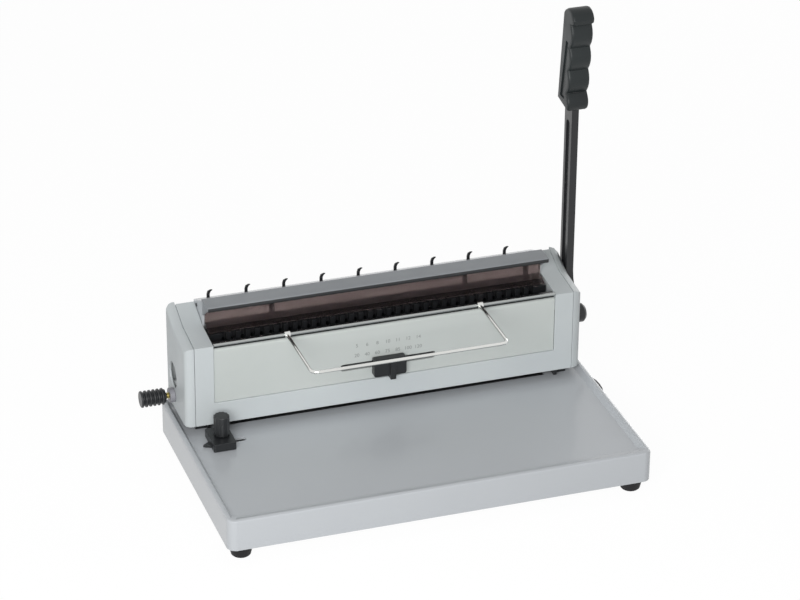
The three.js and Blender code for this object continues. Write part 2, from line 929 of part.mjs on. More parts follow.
function endCap(side) {
  const [x0, x1] = side > 0 ? [capInner, capOuter] : [-capOuter, -capInner];
  const [h0, h1] = side > 0 ? [capInner + coverWall, capOuter + cut] : [-capOuter - cut, -capInner - coverWall];
  const [w0, w1] = side > 0 ? [capInner - cut, capInner + 2 * cut] : [-capInner - 2 * cut, -capInner + cut];
  return cutAll(solid(alongXFrom(capProfile(0), x0, x1)), [
    solid(alongXFrom(capProfile(coverWall), h0, h1)),
    solid(box(w0, w1, headFront + coverWall, capRear + cut, headBottom - cut, frontTop - capReturn)),
  ]);
}

function frontFrame() {
  const reach = capInner + coverWall / 2;
  const top = headBottom + railHeight2;
  const profile = polygon([
    [headFront, headBottom],
    [headFront + railLip, headBottom],
    [headFront + railLip, headBottom + coverWall],
    [headFront + coverWall, headBottom + coverWall],
    [headFront + coverWall, top - coverWall],
    [headFront + railLedge, top - coverWall],
    [headFront + railLedge, top],
    [headFront, top],
  ]);
  return join([endCap(-1), endCap(1), solid(alongXFrom(profile, -reach, reach))]);
}

add('front_frame', frontFrame(), greyPlastic);

// Front panel with its slot
const panelInset = 1.5;
const panelWall = 1.8;
const panelGap = 3.5;
const panelFold = 3.8;
const panelRoll = 2.9;
const rollShares = [
  [0.383, 0.924],
  [0.707, 0.707],
  [0.924, 0.383],
];
const slotLeft = -42;
const slotRight = 45;
const slotLow = 75;
const slotHigh = 81.5;

const panelFront = headFront + panelInset;
const panelTop = frontTop - panelGap;

function frontPanel() {
  const low = headBottom + railHeight2 + gap;
  const profile = polygon([
    [panelFront, low],
    [panelFront + panelWall, low],
    [panelFront + panelWall, panelTop - panelRoll],
    [panelFront + panelRoll, panelTop - sheetWall],
    [panelFront + panelFold, panelTop - sheetWall],
    [panelFront + panelFold, panelTop],
    [panelFront + panelRoll, panelTop],
    ...rollShares.map(([out, up]) => [
      panelFront + panelRoll * (1 - out),
      panelTop - panelRoll * (1 - up),
    ]),
    [panelFront, panelTop - panelRoll],
  ]);
  const slot = roundRect(slotLeft, slotRight, slotLow, slotHigh, (slotHigh - slotLow) / 2 - gap);
  return solid(alongXFrom(profile, -channelHalf, channelHalf)).subtract(
    solid(alongYFrom(slot, panelFront - cut, panelFront + panelWall + cut)),
  );
}

add('front_panel', frontPanel(), panelGrey);

// Wire size selector
const sliderX = 1.3;
const sliderWidth = 29.5;
const sliderLow = 68;
const sliderHigh = 85;
const sliderDepth = 6.7;
const pointerLow = 64.7;
const pointerLeft = 0;
const pointerWidth = 5;
const pointerDepth = 2;
const stemWidth = 16;
const sizeSteps = 7;
const sizeTravel = 52;
const stepRise = 1;
const wedgeWall = 1.8;

function sizeSlider() {
  const back = panelFront - gap;
  const left = sliderX - sliderWidth / 2;
  const pointer = sliderX + pointerLeft - gap;
  return join([
    solid(
      alongYFrom(
        roundRect(left, left + sliderWidth, sliderLow, sliderHigh, pointerDepth),
        back - sliderDepth,
        back,
      ),
    ),
    solid(
      box(pointer, pointer + pointerWidth, back - sliderDepth - pointerDepth, back - pointerDepth, pointerLow,
        sliderHigh - pointerDepth),
    ),
    solid(
      box(sliderX - stemWidth / 2, sliderX + stemWidth / 2, back - gap, panelFront + panelWall,
        slotLow + tongueFit, slotHigh - tongueFit),
    ),
  ]);
}

add('size_slider', sizeSlider(), blackPlastic);

function sizeWedge() {
  const front = panelFront + panelWall + gap;
  const step = sizeTravel / (sizeSteps - 1);
  const left = sliderX - (step * sizeSteps) / 2;
  const points = [[left, front], [left + step * sizeSteps, front]];
  for (let i = sizeSteps - 1; i >= 0; i -= 1) {
    const depth = front + wedgeWall + stepRise * (i - 1);
    points.push([left + step * (i + 1), depth], [left + step * i, depth]);
  }
  const low = trayFloor + crossbarZ;
  return join([
    solid(alongZFrom(polygon(points), low, low + crossbarHeight)),
    solid(box(sliderX - stemWidth / 2, sliderX + stemWidth / 2, front, front + wedgeWall / 2, slotLow,
      low + gap)),
  ]);
}

add('size_wedge', sizeWedge(), steel);

// Hinge rod along the lip and the wire page rest that turns on it
const rodRadius = 1.5;
const rodSides = 12;
const rodY = headFront + 2;
const rodZc = frontTop + 0.1;
const bailLeft = -89.5;
const bailRight = 85;
const bailReach = 72;
const bailWire = 1.5;
const bailBend = 7;
const bailSides = 8;
const eyeRadius = 3.1;
const eyeWidth = 5;
const eyeFit = 0.3;

add('hinge_rod', rodX(rodRadius, rodSides, -channelHalf, channelHalf, rodY, rodZc), chrome);

function bail() {
  const front = rodY - bailReach;
  const path = new THREE.CurvePath();
  const at = (x, y) => new THREE.Vector3(x, y, rodZc);
  const start = rodY - rodRadius - eyeFit - gap;
  path.add(new THREE.LineCurve3(at(bailLeft, start), at(bailLeft, front + bailBend)));
  path.add(
    new THREE.QuadraticBezierCurve3(
      at(bailLeft, front + bailBend),
      at(bailLeft, front),
      at(bailLeft + bailBend, front),
    ),
  );
  path.add(new THREE.LineCurve3(at(bailLeft + bailBend, front), at(bailRight - bailBend, front)));
  path.add(
    new THREE.QuadraticBezierCurve3(
      at(bailRight - bailBend, front),
      at(bailRight, front),
      at(bailRight, front + bailBend),
    ),
  );
  path.add(new THREE.LineCurve3(at(bailRight, front + bailBend), at(bailRight, start)));
  const wire = bentTube(path, bailWire, bailSides);
  const eyes = [bailLeft, bailRight].map((x) => {
    const [x0, x1] = [x - eyeWidth / 2, x + eyeWidth / 2];
    return solid(rodX(eyeRadius, rodSides, x0, x1, rodY, rodZc)).subtract(
      solid(rodX(rodRadius + eyeFit, rodSides, x0 - cut, x1 + cut, rodY, rodZc)),
    );
  });
  return join([wire, ...eyes]);
}

// A tube in a flat horizontal path: a ring at each end of a straight run and three in each bend
function bentTube(path, radius, sides) {
  const places = [];
  for (const curve of path.curves) {
    const steps = curve.isLineCurve3 ? 1 : 3;
    for (let i = places.length ? 1 : 0; i <= steps; i += 1) {
      places.push([curve.getPoint(i / steps), curve.getTangent(i / steps)]);
    }
  }
  const rings = places.map(([point, tangent]) => {
    const sideways = new THREE.Vector3().crossVectors(tangent, alongZ).normalize();
    return Array.from({ length: sides }, (unused, i) => {
      const angle = (i / sides) * 2 * Math.PI;
      return point
        .clone()
        .addScaledVector(sideways, radius * Math.cos(angle))
        .addScaledVector(alongZ, radius * Math.sin(angle));
    });
  });
  const vertices = rings.flat().flatMap((point) => [point.x, point.y, point.z]);
  const index = [];
  for (let level = 0; level + 1 < rings.length; level += 1) {
    for (let i = 0; i < sides; i += 1) {
      const [a, b] = [level * sides + i, level * sides + ((i + 1) % sides)];
      index.push(a, b, b + sides, a, b + sides, a + sides);
    }
  }
  const last = (rings.length - 1) * sides;
  for (let i = 1; i + 1 < sides; i += 1) {
    index.push(0, i + 1, i, last, last + i, last + i + 1);
  }
  const geometry = new THREE.BufferGeometry();
  geometry.setAttribute('position', new THREE.Float32BufferAttribute(vertices, 3));
  geometry.setIndex(index);
  return solid(geometry);
}

add('bail', bail(), chrome);

// Side covers with rounded outer edges
const leftEdgeRadius = 6;
const rightEdgeRadius = 8.2;
const shaftHoleRadius = 11.8;
const coverBossRadius = 4;

function sideCover(side) {
  const edge = side > 0 ? rightEdgeRadius : leftEdgeRadius;
  const outline = polygon([
    [headFront, headBottom - 2 * edge],
    [headRear, headBottom - 2 * edge],
    [headRear, rearTop],
    [shelfEnd, shelfTop],
    [headFront, frontTop],
  ]);
  const options = {
    bevelEnabled: true,
    bevelThickness: edge,
    bevelSize: edge,
    bevelOffset: -edge,
    bevelSegments: 3,
  };
  const [near, far] = [coverInner, coverOuter - edge];
  const body = side > 0
    ? solid(alongXFrom(outline, near, far, options))
    : solid(alongXFrom(outline, -far, -near, options));
  const clip = 2 * baseDepth;
  const inboard = side > 0
    ? solid(box(0, coverInner, -clip, clip, -clip, clip))
    : solid(box(-coverInner, 0, -clip, clip, -clip, clip));
  const below = solid(box(-baseWidth, baseWidth, -clip, clip, -clip, headBottom));
  const wallX = coverOuter - coverWall;
  const hollowShape = polygon([
    [headFront + 2 * coverWall, headBottom - cut],
    [headRear - 2 * coverWall, headBottom - cut],
    [headRear - 2 * coverWall, capTop(headRear - 2 * coverWall, 2 * coverWall)],
    [shelfEnd, capTop(shelfEnd, 2 * coverWall)],
    [headFront + 2 * coverWall, capTop(headFront + 2 * coverWall, 2 * coverWall)],
  ]);
  const hollow = side > 0
    ? solid(alongXFrom(hollowShape, coverInner - cut, wallX))
    : solid(alongXFrom(hollowShape, -wallX, -coverInner + cut));
  const hole = side > 0
    ? solid(rodX(shaftHoleRadius, shaftSides, coverInner, coverOuter + cut, shaftY, shaftZ))
    : solid(rodX(shaftHoleRadius, shaftSides, -coverOuter - cut, -coverInner, shaftY, shaftZ));
  const shell = cutAll(body, [inboard, below, hollow, hole]);
  const bossPlaces = [
    [headFront + 3 * bearingRadius / 2, capTop(headFront, 6 * coverBossRadius)],
    [headRear - 3 * coverBossRadius, headBottom + 4 * coverBossRadius],
  ];
  const bosses = bossPlaces.map(([y, z]) => {
    const [x0, x1] = side > 0
      ? [framePlateOuter + gap, wallX + coverWall / 2]
      : [-wallX - coverWall / 2, -framePlateOuter - gap];
    return solid(rodX(coverBossRadius, screwSides, x0, x1, y, z));
  });
  const whole = join([shell, ...bosses]);
  if (side > 0) {
    return whole;
  }
  const screwHole = rodX(screwRadius + gap, rodSides, -coverOuter - cut, -coverInner, screwY, screwZ);
  return whole.subtract(solid(screwHole));
}

add('left_side_cover', sideCover(-1), greyPlastic);
add('right_side_cover', sideCover(1), greyPlastic);

// Rear cover
const rearCoverTop = 3.3;

add(
  'rear_cover',
  alongYFrom(
    roundRect(-coverInner + gap, coverInner - gap, baseTop + gap, rearTop - rearCoverTop, coverWall / 2),
    headRear - coverWall,
    headRear,
  ),
  greyPlastic,
);

// Top cover behind the channel, with slots for the hooks
const guardFront = 33.3;
const guardWall = 2;
const guardFlare = 10.8;
const guardFlareRise = 5.2;
const guardLip = 1.1;
const ridgeDepth = 2.4;
const flangeDrop = 4;
const stripWall = 2.1;
const topLip = 2.8;
const endPlateDrop = 26;
const hookStep = 4;
const hookShift = 3;
const hookY = 4.6;
const hookThickness = 1.5;
const hookWidth = 3.6;

const topFront = headFront + guardFront + guardWall + gap;
const ridge = hoodTop - stripWall - gap;

function slopeZ(y, drop) {
  const start = topFront + ridgeDepth;
  return ridge - drop - ((ridge - rearTop) * (y - start)) / (headRear - start);
}

const hookCount = Math.floor((holeCount - 1) / hookStep) + 1;
const hookPlaces = Array.from(
  { length: hookCount },
  (unused, i) => holePlaces[i * hookStep] - hookShift,
);

function topCover() {
  const lipY = headRear - coverWall - gap;
  const profile = polygon([
    [topFront, ridge - flangeDrop],
    [topFront + sheetWall, ridge - flangeDrop],
    [topFront + sheetWall, ridge - sheetWall],
    [topFront + ridgeDepth, ridge - sheetWall],
    [lipY, slopeZ(lipY, sheetWall)],
    [headRear - coverWall, rearTop - rearCoverTop + gap],
    [headRear, rearTop - rearCoverTop + gap],
    [headRear, rearTop],
    [topFront + ridgeDepth, ridge],
    [topFront, ridge],
  ]);
  const endLow = rearTop - endPlateDrop / 2;
  const endShape = polygon([
    [topFront, endLow],
    [lipY, endLow],
    [lipY, slopeZ(lipY, sheetWall / 2)],
    [topFront + ridgeDepth, ridge - sheetWall / 2],
    [topFront, ridge - sheetWall / 2],
  ]);
  const sheet = join([
    solid(alongXFrom(profile, -channelHalf, channelHalf)),
    solid(alongXFrom(endShape, -channelHalf, -channelHalf + sheetWall)),
    solid(alongXFrom(endShape, channelHalf - sheetWall, channelHalf)),
  ]);
  const half = hookWidth / 2 + gap;
  const slotY = headRear - hookY;
  return cutAll(
    sheet,
    hookPlaces.map((x) =>
      solid(box(x - half, x + half, slotY - hookThickness - gap, slotY + gap, endLow, hoodTop)),
    ),
  );
}

add('top_cover', topCover(), greyPlastic);

// Dark strip on the ridge, with the lip that overhangs the channel
const stripFront = 18;
const stripLip = 3.6;
const webDrop = 13;

function hoodStrip() {
  const front = headFront + stripFront;
  const back = topFront + ridgeDepth;
  const low = hoodTop - stripWall;
  const profile = polygon([
    [front, hoodTop - stripLip],
    [front + sheetWall, hoodTop - stripLip],
    [front + sheetWall, low],
    [back, low],
    [back, hoodTop - sheetWall / 2],
    [back - sheetWall, hoodTop],
    [front + sheetWall / 2, hoodTop],
    [front, hoodTop - sheetWall / 2],
  ]);
  const webBack = topFront - gap;
  const web = polygon([
    [front + sheetWall / 2, low - gap],
    [webBack, low - webDrop],
    [webBack, low + gap],
    [front + sheetWall / 2, low + gap],
  ]);
  return join([
    solid(alongXFrom(profile, -channelHalf, channelHalf)),
    solid(alongXFrom(web, -channelHalf, -channelHalf + sheetWall)),
    solid(alongXFrom(web, channelHalf - sheetWall, channelHalf)),
  ]);
}

add('hood_strip', hoodStrip(), darkGrey);

// Smoked guard under the strip and the pale rail behind it
const guideRailWall = 2.5;
const guideRailHeight = 17;
const guideRailDrop = 3.3;
const notchWidth = 5;
const notchInset = 14.2;
const notchSpan = 56.6;
const notchLeft = 92.4;

const guardHalf = channelHalf - sheetWall - gap;
const guardY = headFront + guardFront;
const notchRight = channelHalf - notchInset;
const notchPlaces = [-notchLeft, notchRight - notchSpan, notchRight];

function smokedGuard() {
  const low = closerBarZ + closerBarHeight + 2 * gap;
  const top = hoodTop - stripWall - gap;
  const back = guardY + guardWall;
  const profile = polygon([
    [back, top],
    [guardY, top],
    [guardY, low + guardFlareRise],
    [guardY - guardFlare, low + guardLip],
    [guardY - guardFlare, low],
    [back, low + guardFlareRise - guardLip],
  ]);
  return alongXFrom(profile, -guardHalf, guardHalf);
}

add('smoked_guard', smokedGuard(), smoked);

function closerGuideRail() {
  const y = topFront + sheetWall + gap;
  const top = ridge - guideRailDrop;
  const rail = solid(
    box(-guardHalf, guardHalf, y, y + guideRailWall, top - guideRailHeight, top),
  );
  return cutAll(
    rail,
    notchPlaces.map((x) =>
      solid(
        box(x - notchWidth / 2, x + notchWidth / 2, y - cut, y + guideRailWall + cut,
          top - guideRailHeight - cut, top - guideRailHeight / 2),
      ),
    ),
  );
}

add('closer_guide_rail', closerGuideRail(), paleGrey);

// Hooks at the rear top edge: one strip with fingers that pass through the top cover
const hookStripHeight = 5;
const hookRise = 9.6;
const hookCurl = 3.2;

function wireHooks() {
  const slotY = headRear - hookY;
  const shoulder = slopeZ(slotY - hookThickness, sheetWall + 3 * gap) - gap;
  const top = rearTop + hookRise;
  const half = hookWidth / 2;
  const points = [];
  for (const x of hookPlaces) {
    points.push([x - half, shoulder]);
    points.push([x - half, top - hookCurl * 1.2]);
    points.push([x - half / 2, top - hookCurl / 3]);
    points.push([x + half, top]);
    points.push([x + half + hookCurl / 2, top - gap]);
    points.push([x + half, top - hookCurl / 2]);
    points.push([x + half / 2, top - hookCurl * 1.1]);
    points.push([x + half / 2, shoulder]);
  }
  const [left, right] = [hookPlaces[0] - hookWidth * 2, hookPlaces[hookCount - 1] + hookWidth * 2];
  const low = shoulder - hookStripHeight;
  const outline = [[left, low], [left, shoulder], ...points, [right, shoulder], [right, low]];
  return alongYFrom(polygon(outline), slotY - hookThickness, slotY);
}

add('wire_hooks', wireHooks(), blackSteel);

// Margin adjuster at the left: collar, brass screw, ribbed knob and the stop that it moves
const collarRadius = 6.5;
const collarLength = 4.5;
const screwExposed = 8;
const knobLength = 22;
const knobRadius = 7.4;
const knobRibs = 6;
const knobSides = 16;
const knobGroove = 1.4;
const knobCore = 3.8;
const edgeStopReach = 7;
const edgeStopBack = 6;
const edgeStopAhead = 4.2;

const collarLeft = -coverOuter - gap - collarLength;
const knobRight = collarLeft - screwExposed + collarLength;
const knobLeft = knobRight - knobLength;
const screwRight = edgeStopX + edgeStopWidth / 2;
const edgeStopFront = headFront + edgeStopReach;

function marginCollar() {
  return solid(rodX(collarRadius, rodSides * 2, collarLeft, -coverOuter - gap, screwY, screwZ)).subtract(
    solid(rodX(screwRadius + gap, rodSides, collarLeft - cut, -coverOuter + cut, screwY, screwZ)),
  );
}

add('margin_collar', marginCollar(), paleGrey);

function marginScrew() {
  return rodX(screwRadius, rodSides, knobLeft + knobLength / 2, screwRight, screwY, screwZ);
}

add('margin_screw', marginScrew(), brass);

function marginKnob() {
  const profile = [[0, knobLeft], [knobRadius - knobGroove / 2, knobLeft]];
  const pitch = knobLength / knobRibs;
  for (let i = 0; i < knobRibs; i += 1) {
    const start = knobLeft + i * pitch;
    profile.push([knobRadius, start + pitch / 6]);
    profile.push([knobRadius, start + pitch / 2]);
    profile.push([knobRadius - knobGroove, start + (2 * pitch) / 3]);
    profile.push([knobRadius - knobGroove, start + (5 * pitch) / 6]);
  }
  profile.push([knobRadius - knobGroove, knobRight], [0, knobRight]);
  const body = solid(turnedX(profile, knobSides, screwY, screwZ));
  const bore = rodX(screwRadius + gap, rodSides, knobLeft + knobLength / 2 - gap, knobRight + cut, screwY, screwZ);
  return body.subtract(solid(bore));
}

add('margin_knob', marginKnob(), blackPlastic);

function edgeStop() {
  const [x0, x1] = [edgeStopX - edgeStopWidth / 2, edgeStopX + edgeStopWidth / 2];
  const low = trayFloor + 2 * gap;
  const armTop = guideBottom - gap;
  const post = screwY - edgeStopAhead;
  const rear = screwY + edgeStopBack;
  const shape = polygon([
    [edgeStopFront, low],
    [rear, low],
    [rear, screwZ + edgeStopBack],
    [post, screwZ + edgeStopBack],
    [post, armTop],
    [edgeStopFront, armTop],
  ]);
  const bore = rodX(screwRadius + gap, rodSides, x0 - cut, x1 + cut, screwY, screwZ);
  return solid(alongXFrom(shape, x0, x1)).subtract(solid(bore));
}

add('edge_stop', edgeStop(), steel);

// Side guide on the tray, clamped by a thumb knob from above and a nut from below
const guideWidth = 20;
const guideBlockAhead = 16;
const guideBlockDepth = 30;
const guideBlockHeight = 7.4;
const guideBlockLeft = 11.3;
const pointerReach = 6.5;
const pointerRoot = 8;
const guideKnobRadius = 7.1;
const guideKnobHeight = 18.5;
const guideKnobFlutes = 12;
const fluteDepth = 0.7;
const nutRadius = 4.8;
const nutHeight = 3.6;

const guideLeft = guideX - guideBlockLeft;
const guideBlockFront = guideY - guideBlockAhead;

function sideGuide() {
  const low = trayFloor + gap;
  const block = roundRect(
    guideLeft,
    guideLeft + guideWidth,
    guideBlockFront,
    guideBlockFront + guideBlockDepth,
    pointerReach / 4,
  );
  const tail = polygon([
    [guideLeft + coverWall, guideY - pointerRoot],
    [guideLeft + coverWall, guideY + pointerRoot / 4],
    [guideLeft - pointerReach, guideY - pointerRoot / 2],
  ]);
  const hole = rodZ(studRadius + gap, rodSides, low - cut, low + guideBlockHeight + cut, guideX, guideY);
  return join([
    solid(alongZFrom(block, low, low + guideBlockHeight)),
    solid(alongZFrom(tail, low, low + guideBlockHeight / 3)),
  ]).subtract(solid(hole));
}

add('side_guide', sideGuide(), blackPlastic);

function guideKnob() {
  const points = [];
  for (let i = 0; i < guideKnobFlutes * 2; i += 1) {
    const angle = (i / guideKnobFlutes) * Math.PI;
    const radius = guideKnobRadius - (i % 2 ? fluteDepth : 0);
    points.push([guideX + radius * Math.cos(angle), guideY + radius * Math.sin(angle)]);
  }
  const low = trayFloor + gap + guideBlockHeight + gap;
  const body = solid(
    alongZFrom(polygon(points), low + fluteDepth, low + guideKnobHeight - fluteDepth, {
      bevelEnabled: true,
      bevelThickness: fluteDepth,
      bevelSize: fluteDepth,
      bevelOffset: -fluteDepth,
      bevelSegments: 1,
    }),
  );
  const bore = rodZ(studRadius + gap, rodSides, low - cut, low + guideKnobHeight / 2, guideX, guideY);
  return body.subtract(solid(bore));
}

add('side_guide_knob', guideKnob(), blackPlastic);

function guideStud() {
  const knobLow = trayFloor + 2 * gap + guideBlockHeight;
  const nutTop = trayUnderside - gap;
  return join([
    solid(rodZ(studRadius, rodSides, nutTop - nutHeight, knobLow + guideKnobHeight / 2 - gap, guideX, guideY)),
    solid(rodZ(nutRadius, 6, nutTop - nutHeight, nutTop, guideX, guideY)),
  ]);
}

add('side_guide_stud', guideStud(), steel);

// Lever: a recessed steel bar with a boss on the shaft, a moulded grip and the end bolt
const armDepth = 16.5;
const armSetback = 11;
const bossRadius = 15;
const armBendRise = 42.5;
const armPocket = 8;
const pocketDepth = 1.6;
const pocketEnd = 13;
const gripLength = 95;
const gripRise = 198.5;
const gripTang = 20;
const gripWidth = 20;
const gripShift = 0.7;
const gripDepth = 24.5;
const gripAhead = 2.8;
const gripLean = 8.5;
const fingerCount = 4;
const fingerDepth = 4.2;
const fingerFirst = 16;
const fingerPitch = 21.7;
const sideRecess = 1.2;
const recessLow = 9;
const recessHigh = 64;
const recessWide = 9;
const recessNarrow = 5;
const recessSetback = 8;
const gripLift = 4;
const gripDome = 8;
const gripEdge = 2.6;
const boltRadius = 8.5;

const armY = shaftY + armSetback;
const armBend = shaftZ + armBendRise;
const gripBottom = shaftZ + gripRise;
const gripFront = armY - armDepth / 2 - gripAhead;

function leverArm() {
  const top = gripBottom + gripTang;
  const [front, rear] = [armY - armDepth / 2, armY + armDepth / 2];
  const shape = new THREE.Shape();
  shape.moveTo(front, top);
  shape.lineTo(front, armBend);
  shape.bezierCurveTo(front, armBend - armDepth, shaftY - bossRadius, shaftZ + bossRadius,
    shaftY - bossRadius, shaftZ);
  shape.absarc(shaftY, shaftZ, bossRadius, Math.PI, 2 * Math.PI);
  shape.bezierCurveTo(shaftY + bossRadius, shaftZ + bossRadius, rear, armBend - 2 * armDepth, rear, armBend);
  shape.lineTo(rear, top);
  const x0 = leverX0;
  const x1 = x0 + leverThickness;
  const bar = solid(alongXFrom(shape, x0, x1, { curveSegments: 6 }));
  const pocket = roundRect(armY - armPocket / 2, armY + armPocket / 2, armBend,
    gripBottom - pocketEnd, armPocket / 2 - gap);
  return cutAll(bar, [
    solid(alongXFrom(pocket, x0 - cut, x0 + pocketDepth)),
    solid(alongXFrom(pocket, x1 - pocketDepth, x1 + cut)),
    solid(rodX(shaftRadius + runningFit, shaftSides, x0 - cut, x1 + cut, shaftY, shaftZ)),
  ]);
}

add('lever_arm', leverArm(), blackSteel);

function leverGrip() {
  const middleX = leverX0 + leverThickness / 2 + gripShift;
  const top = gripBottom + gripLength;
  const frontHigh = gripFront - gripLean;
  const rearHigh = frontHigh + gripDepth;
  const shape = new THREE.Shape();
  shape.moveTo(gripFront + gripDepth, gripBottom + gripLift);
  shape.lineTo(rearHigh, top - gripDome);
  shape.quadraticCurveTo(rearHigh - gripEdge, top - gripEdge, frontHigh + gripDepth / 2, top);
  shape.quadraticCurveTo(frontHigh + gripEdge, top, frontHigh, top - gripDome);
  const frontAt = (z) => gripFront + ((frontHigh - gripFront) * (z - gripBottom)) / gripLength;
  const notchAt = (i) => gripBottom + fingerFirst + fingerPitch * i;
  shape.lineTo(frontAt(notchAt(fingerCount - 1) + fingerDepth / 2), notchAt(fingerCount - 1) + fingerDepth / 2);
  shape.lineTo(frontAt(notchAt(fingerCount - 1)) + fingerDepth, notchAt(fingerCount - 1));
  for (let i = fingerCount - 2; i >= 0; i -= 1) {
    const [low, middle] = [notchAt(i), notchAt(i + 1 / 2)];
    shape.quadraticCurveTo(frontAt(middle) - fingerDepth, middle, frontAt(low) + fingerDepth, low);
  }
  const lowest = gripBottom + fingerFirst / 2;
  shape.quadraticCurveTo(frontAt(lowest) - fingerDepth, lowest, gripFront, gripBottom + gripEdge / 2);
  shape.lineTo(gripFront + gripEdge / 2, gripBottom);
  const half = gripWidth / 2 - gripEdge;
  const blank = alongXFrom(shape, middleX - half, middleX + half, {
    bevelEnabled: true,
    bevelThickness: gripEdge,
    bevelSize: gripEdge,
    bevelOffset: -gripEdge,
    bevelSegments: 2,
    curveSegments: 5,
  });
  const whole = solid(blank);
  const pocket = box(
    leverX0 - gap,
    leverX0 + leverThickness + gap,
    armY - armDepth / 2 - gap,
    armY + armDepth / 2 + gap,
    gripBottom - cut,
    gripBottom + gripTang + gap,
  );
  const recessRise = gripBottom + recessHigh;
  const recessFront = gripFront + recessSetback;
  const lean = (gripLean * recessHigh) / gripLength;
  const recess = polygon([
    [recessFront, gripBottom + recessLow],
    [recessFront + recessWide, gripBottom + recessLow],
    [recessFront + recessNarrow - lean, recessRise],
    [recessFront - lean, recessRise],
  ]);
  const halfWidth = gripWidth / 2 - sideRecess;
  return cutAll(whole, [
    solid(pocket),
    solid(alongXFrom(recess, middleX - gripWidth, middleX - halfWidth)),
    solid(alongXFrom(recess, middleX + halfWidth, middleX + gripWidth)),
  ]);
}

add('lever_grip', leverGrip(), blackRubber);

function leverBolt() {
  const near = leverX0 + leverThickness + gap;
  const far = near + boltLength;
  const body = solid(
    turnedX(
      [
        [0, near],
        [boltRadius, near],
        [boltRadius, far - gripEdge],
        [boltRadius - gripEdge, far],
        [0, far],
      ],
      shaftSides,
      shaftY,
      shaftZ,
    ),
  );
  const socket = rodX(shaftRadius + runningFit, shaftSides, near - cut, near + coverWall, shaftY, shaftZ);
  return body.subtract(solid(socket));
}

add('lever_bolt', leverBolt(), blackPlastic);

// The origin lies below the middle of the whole machine
const reachLeft = knobLeft;
const reachRight = leverX0 + leverThickness + gap + boltLength;
const reachRear = gripFront + gripDepth;
machine.position.set(-(reachLeft + reachRight) / 2, -reachRear / 2, 0);

export default machine;
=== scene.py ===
"""The looks of a wire binding machine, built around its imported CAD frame."""

import math

import bmesh
import bpy
from mathutils import Matrix, Vector

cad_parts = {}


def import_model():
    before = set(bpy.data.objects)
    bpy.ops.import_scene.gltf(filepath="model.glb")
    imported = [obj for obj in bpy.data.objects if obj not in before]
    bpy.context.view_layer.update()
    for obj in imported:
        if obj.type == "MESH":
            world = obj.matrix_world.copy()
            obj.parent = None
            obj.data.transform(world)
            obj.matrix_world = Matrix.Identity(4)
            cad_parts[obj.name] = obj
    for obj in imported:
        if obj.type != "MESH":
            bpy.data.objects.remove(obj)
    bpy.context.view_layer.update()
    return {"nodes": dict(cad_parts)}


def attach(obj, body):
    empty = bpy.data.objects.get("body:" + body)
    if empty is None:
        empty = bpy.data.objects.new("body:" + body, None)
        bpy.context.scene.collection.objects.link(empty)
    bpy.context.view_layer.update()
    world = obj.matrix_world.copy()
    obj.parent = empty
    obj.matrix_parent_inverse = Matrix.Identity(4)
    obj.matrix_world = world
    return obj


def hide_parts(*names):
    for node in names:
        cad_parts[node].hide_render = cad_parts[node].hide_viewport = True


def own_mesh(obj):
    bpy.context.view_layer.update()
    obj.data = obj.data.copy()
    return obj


MM = 0.001
TURN = 2 * math.pi

# Lengths are in the machine's own millimetres, unless a comment says otherwise. These two are
# added to a place in them to give it in the row frame.
SHIFT_X = 5.975
SHIFT_Y = -108.725


def at(x, y, z):
    """A point of the machine, given in millimetres, in metres in the row frame."""
    return Vector(((x + SHIFT_X) * MM, (y + SHIFT_Y) * MM, z * MM))


def linear(tone):
    """One sRGB channel from 0 to 255 as scene-linear light."""
    share = tone / 255
    return share / 12.92 if share <= 0.04045 else ((share + 0.055) / 1.055) ** 2.4


def rgb(red, green, blue):
    return (linear(red), linear(green), linear(blue), 1.0)


# A Mix node has a set of sockets for each kind of data. These are the colour ones.
MIX_FIRST = 6
MIX_SECOND = 7
MIX_RESULT = 2

EDGE_SAMPLES = 4
# The cosine between the rounded and the true normal, at an edge and on a flat face.
EDGE_COSINE = 0.8
FLAT_COSINE = 0.985


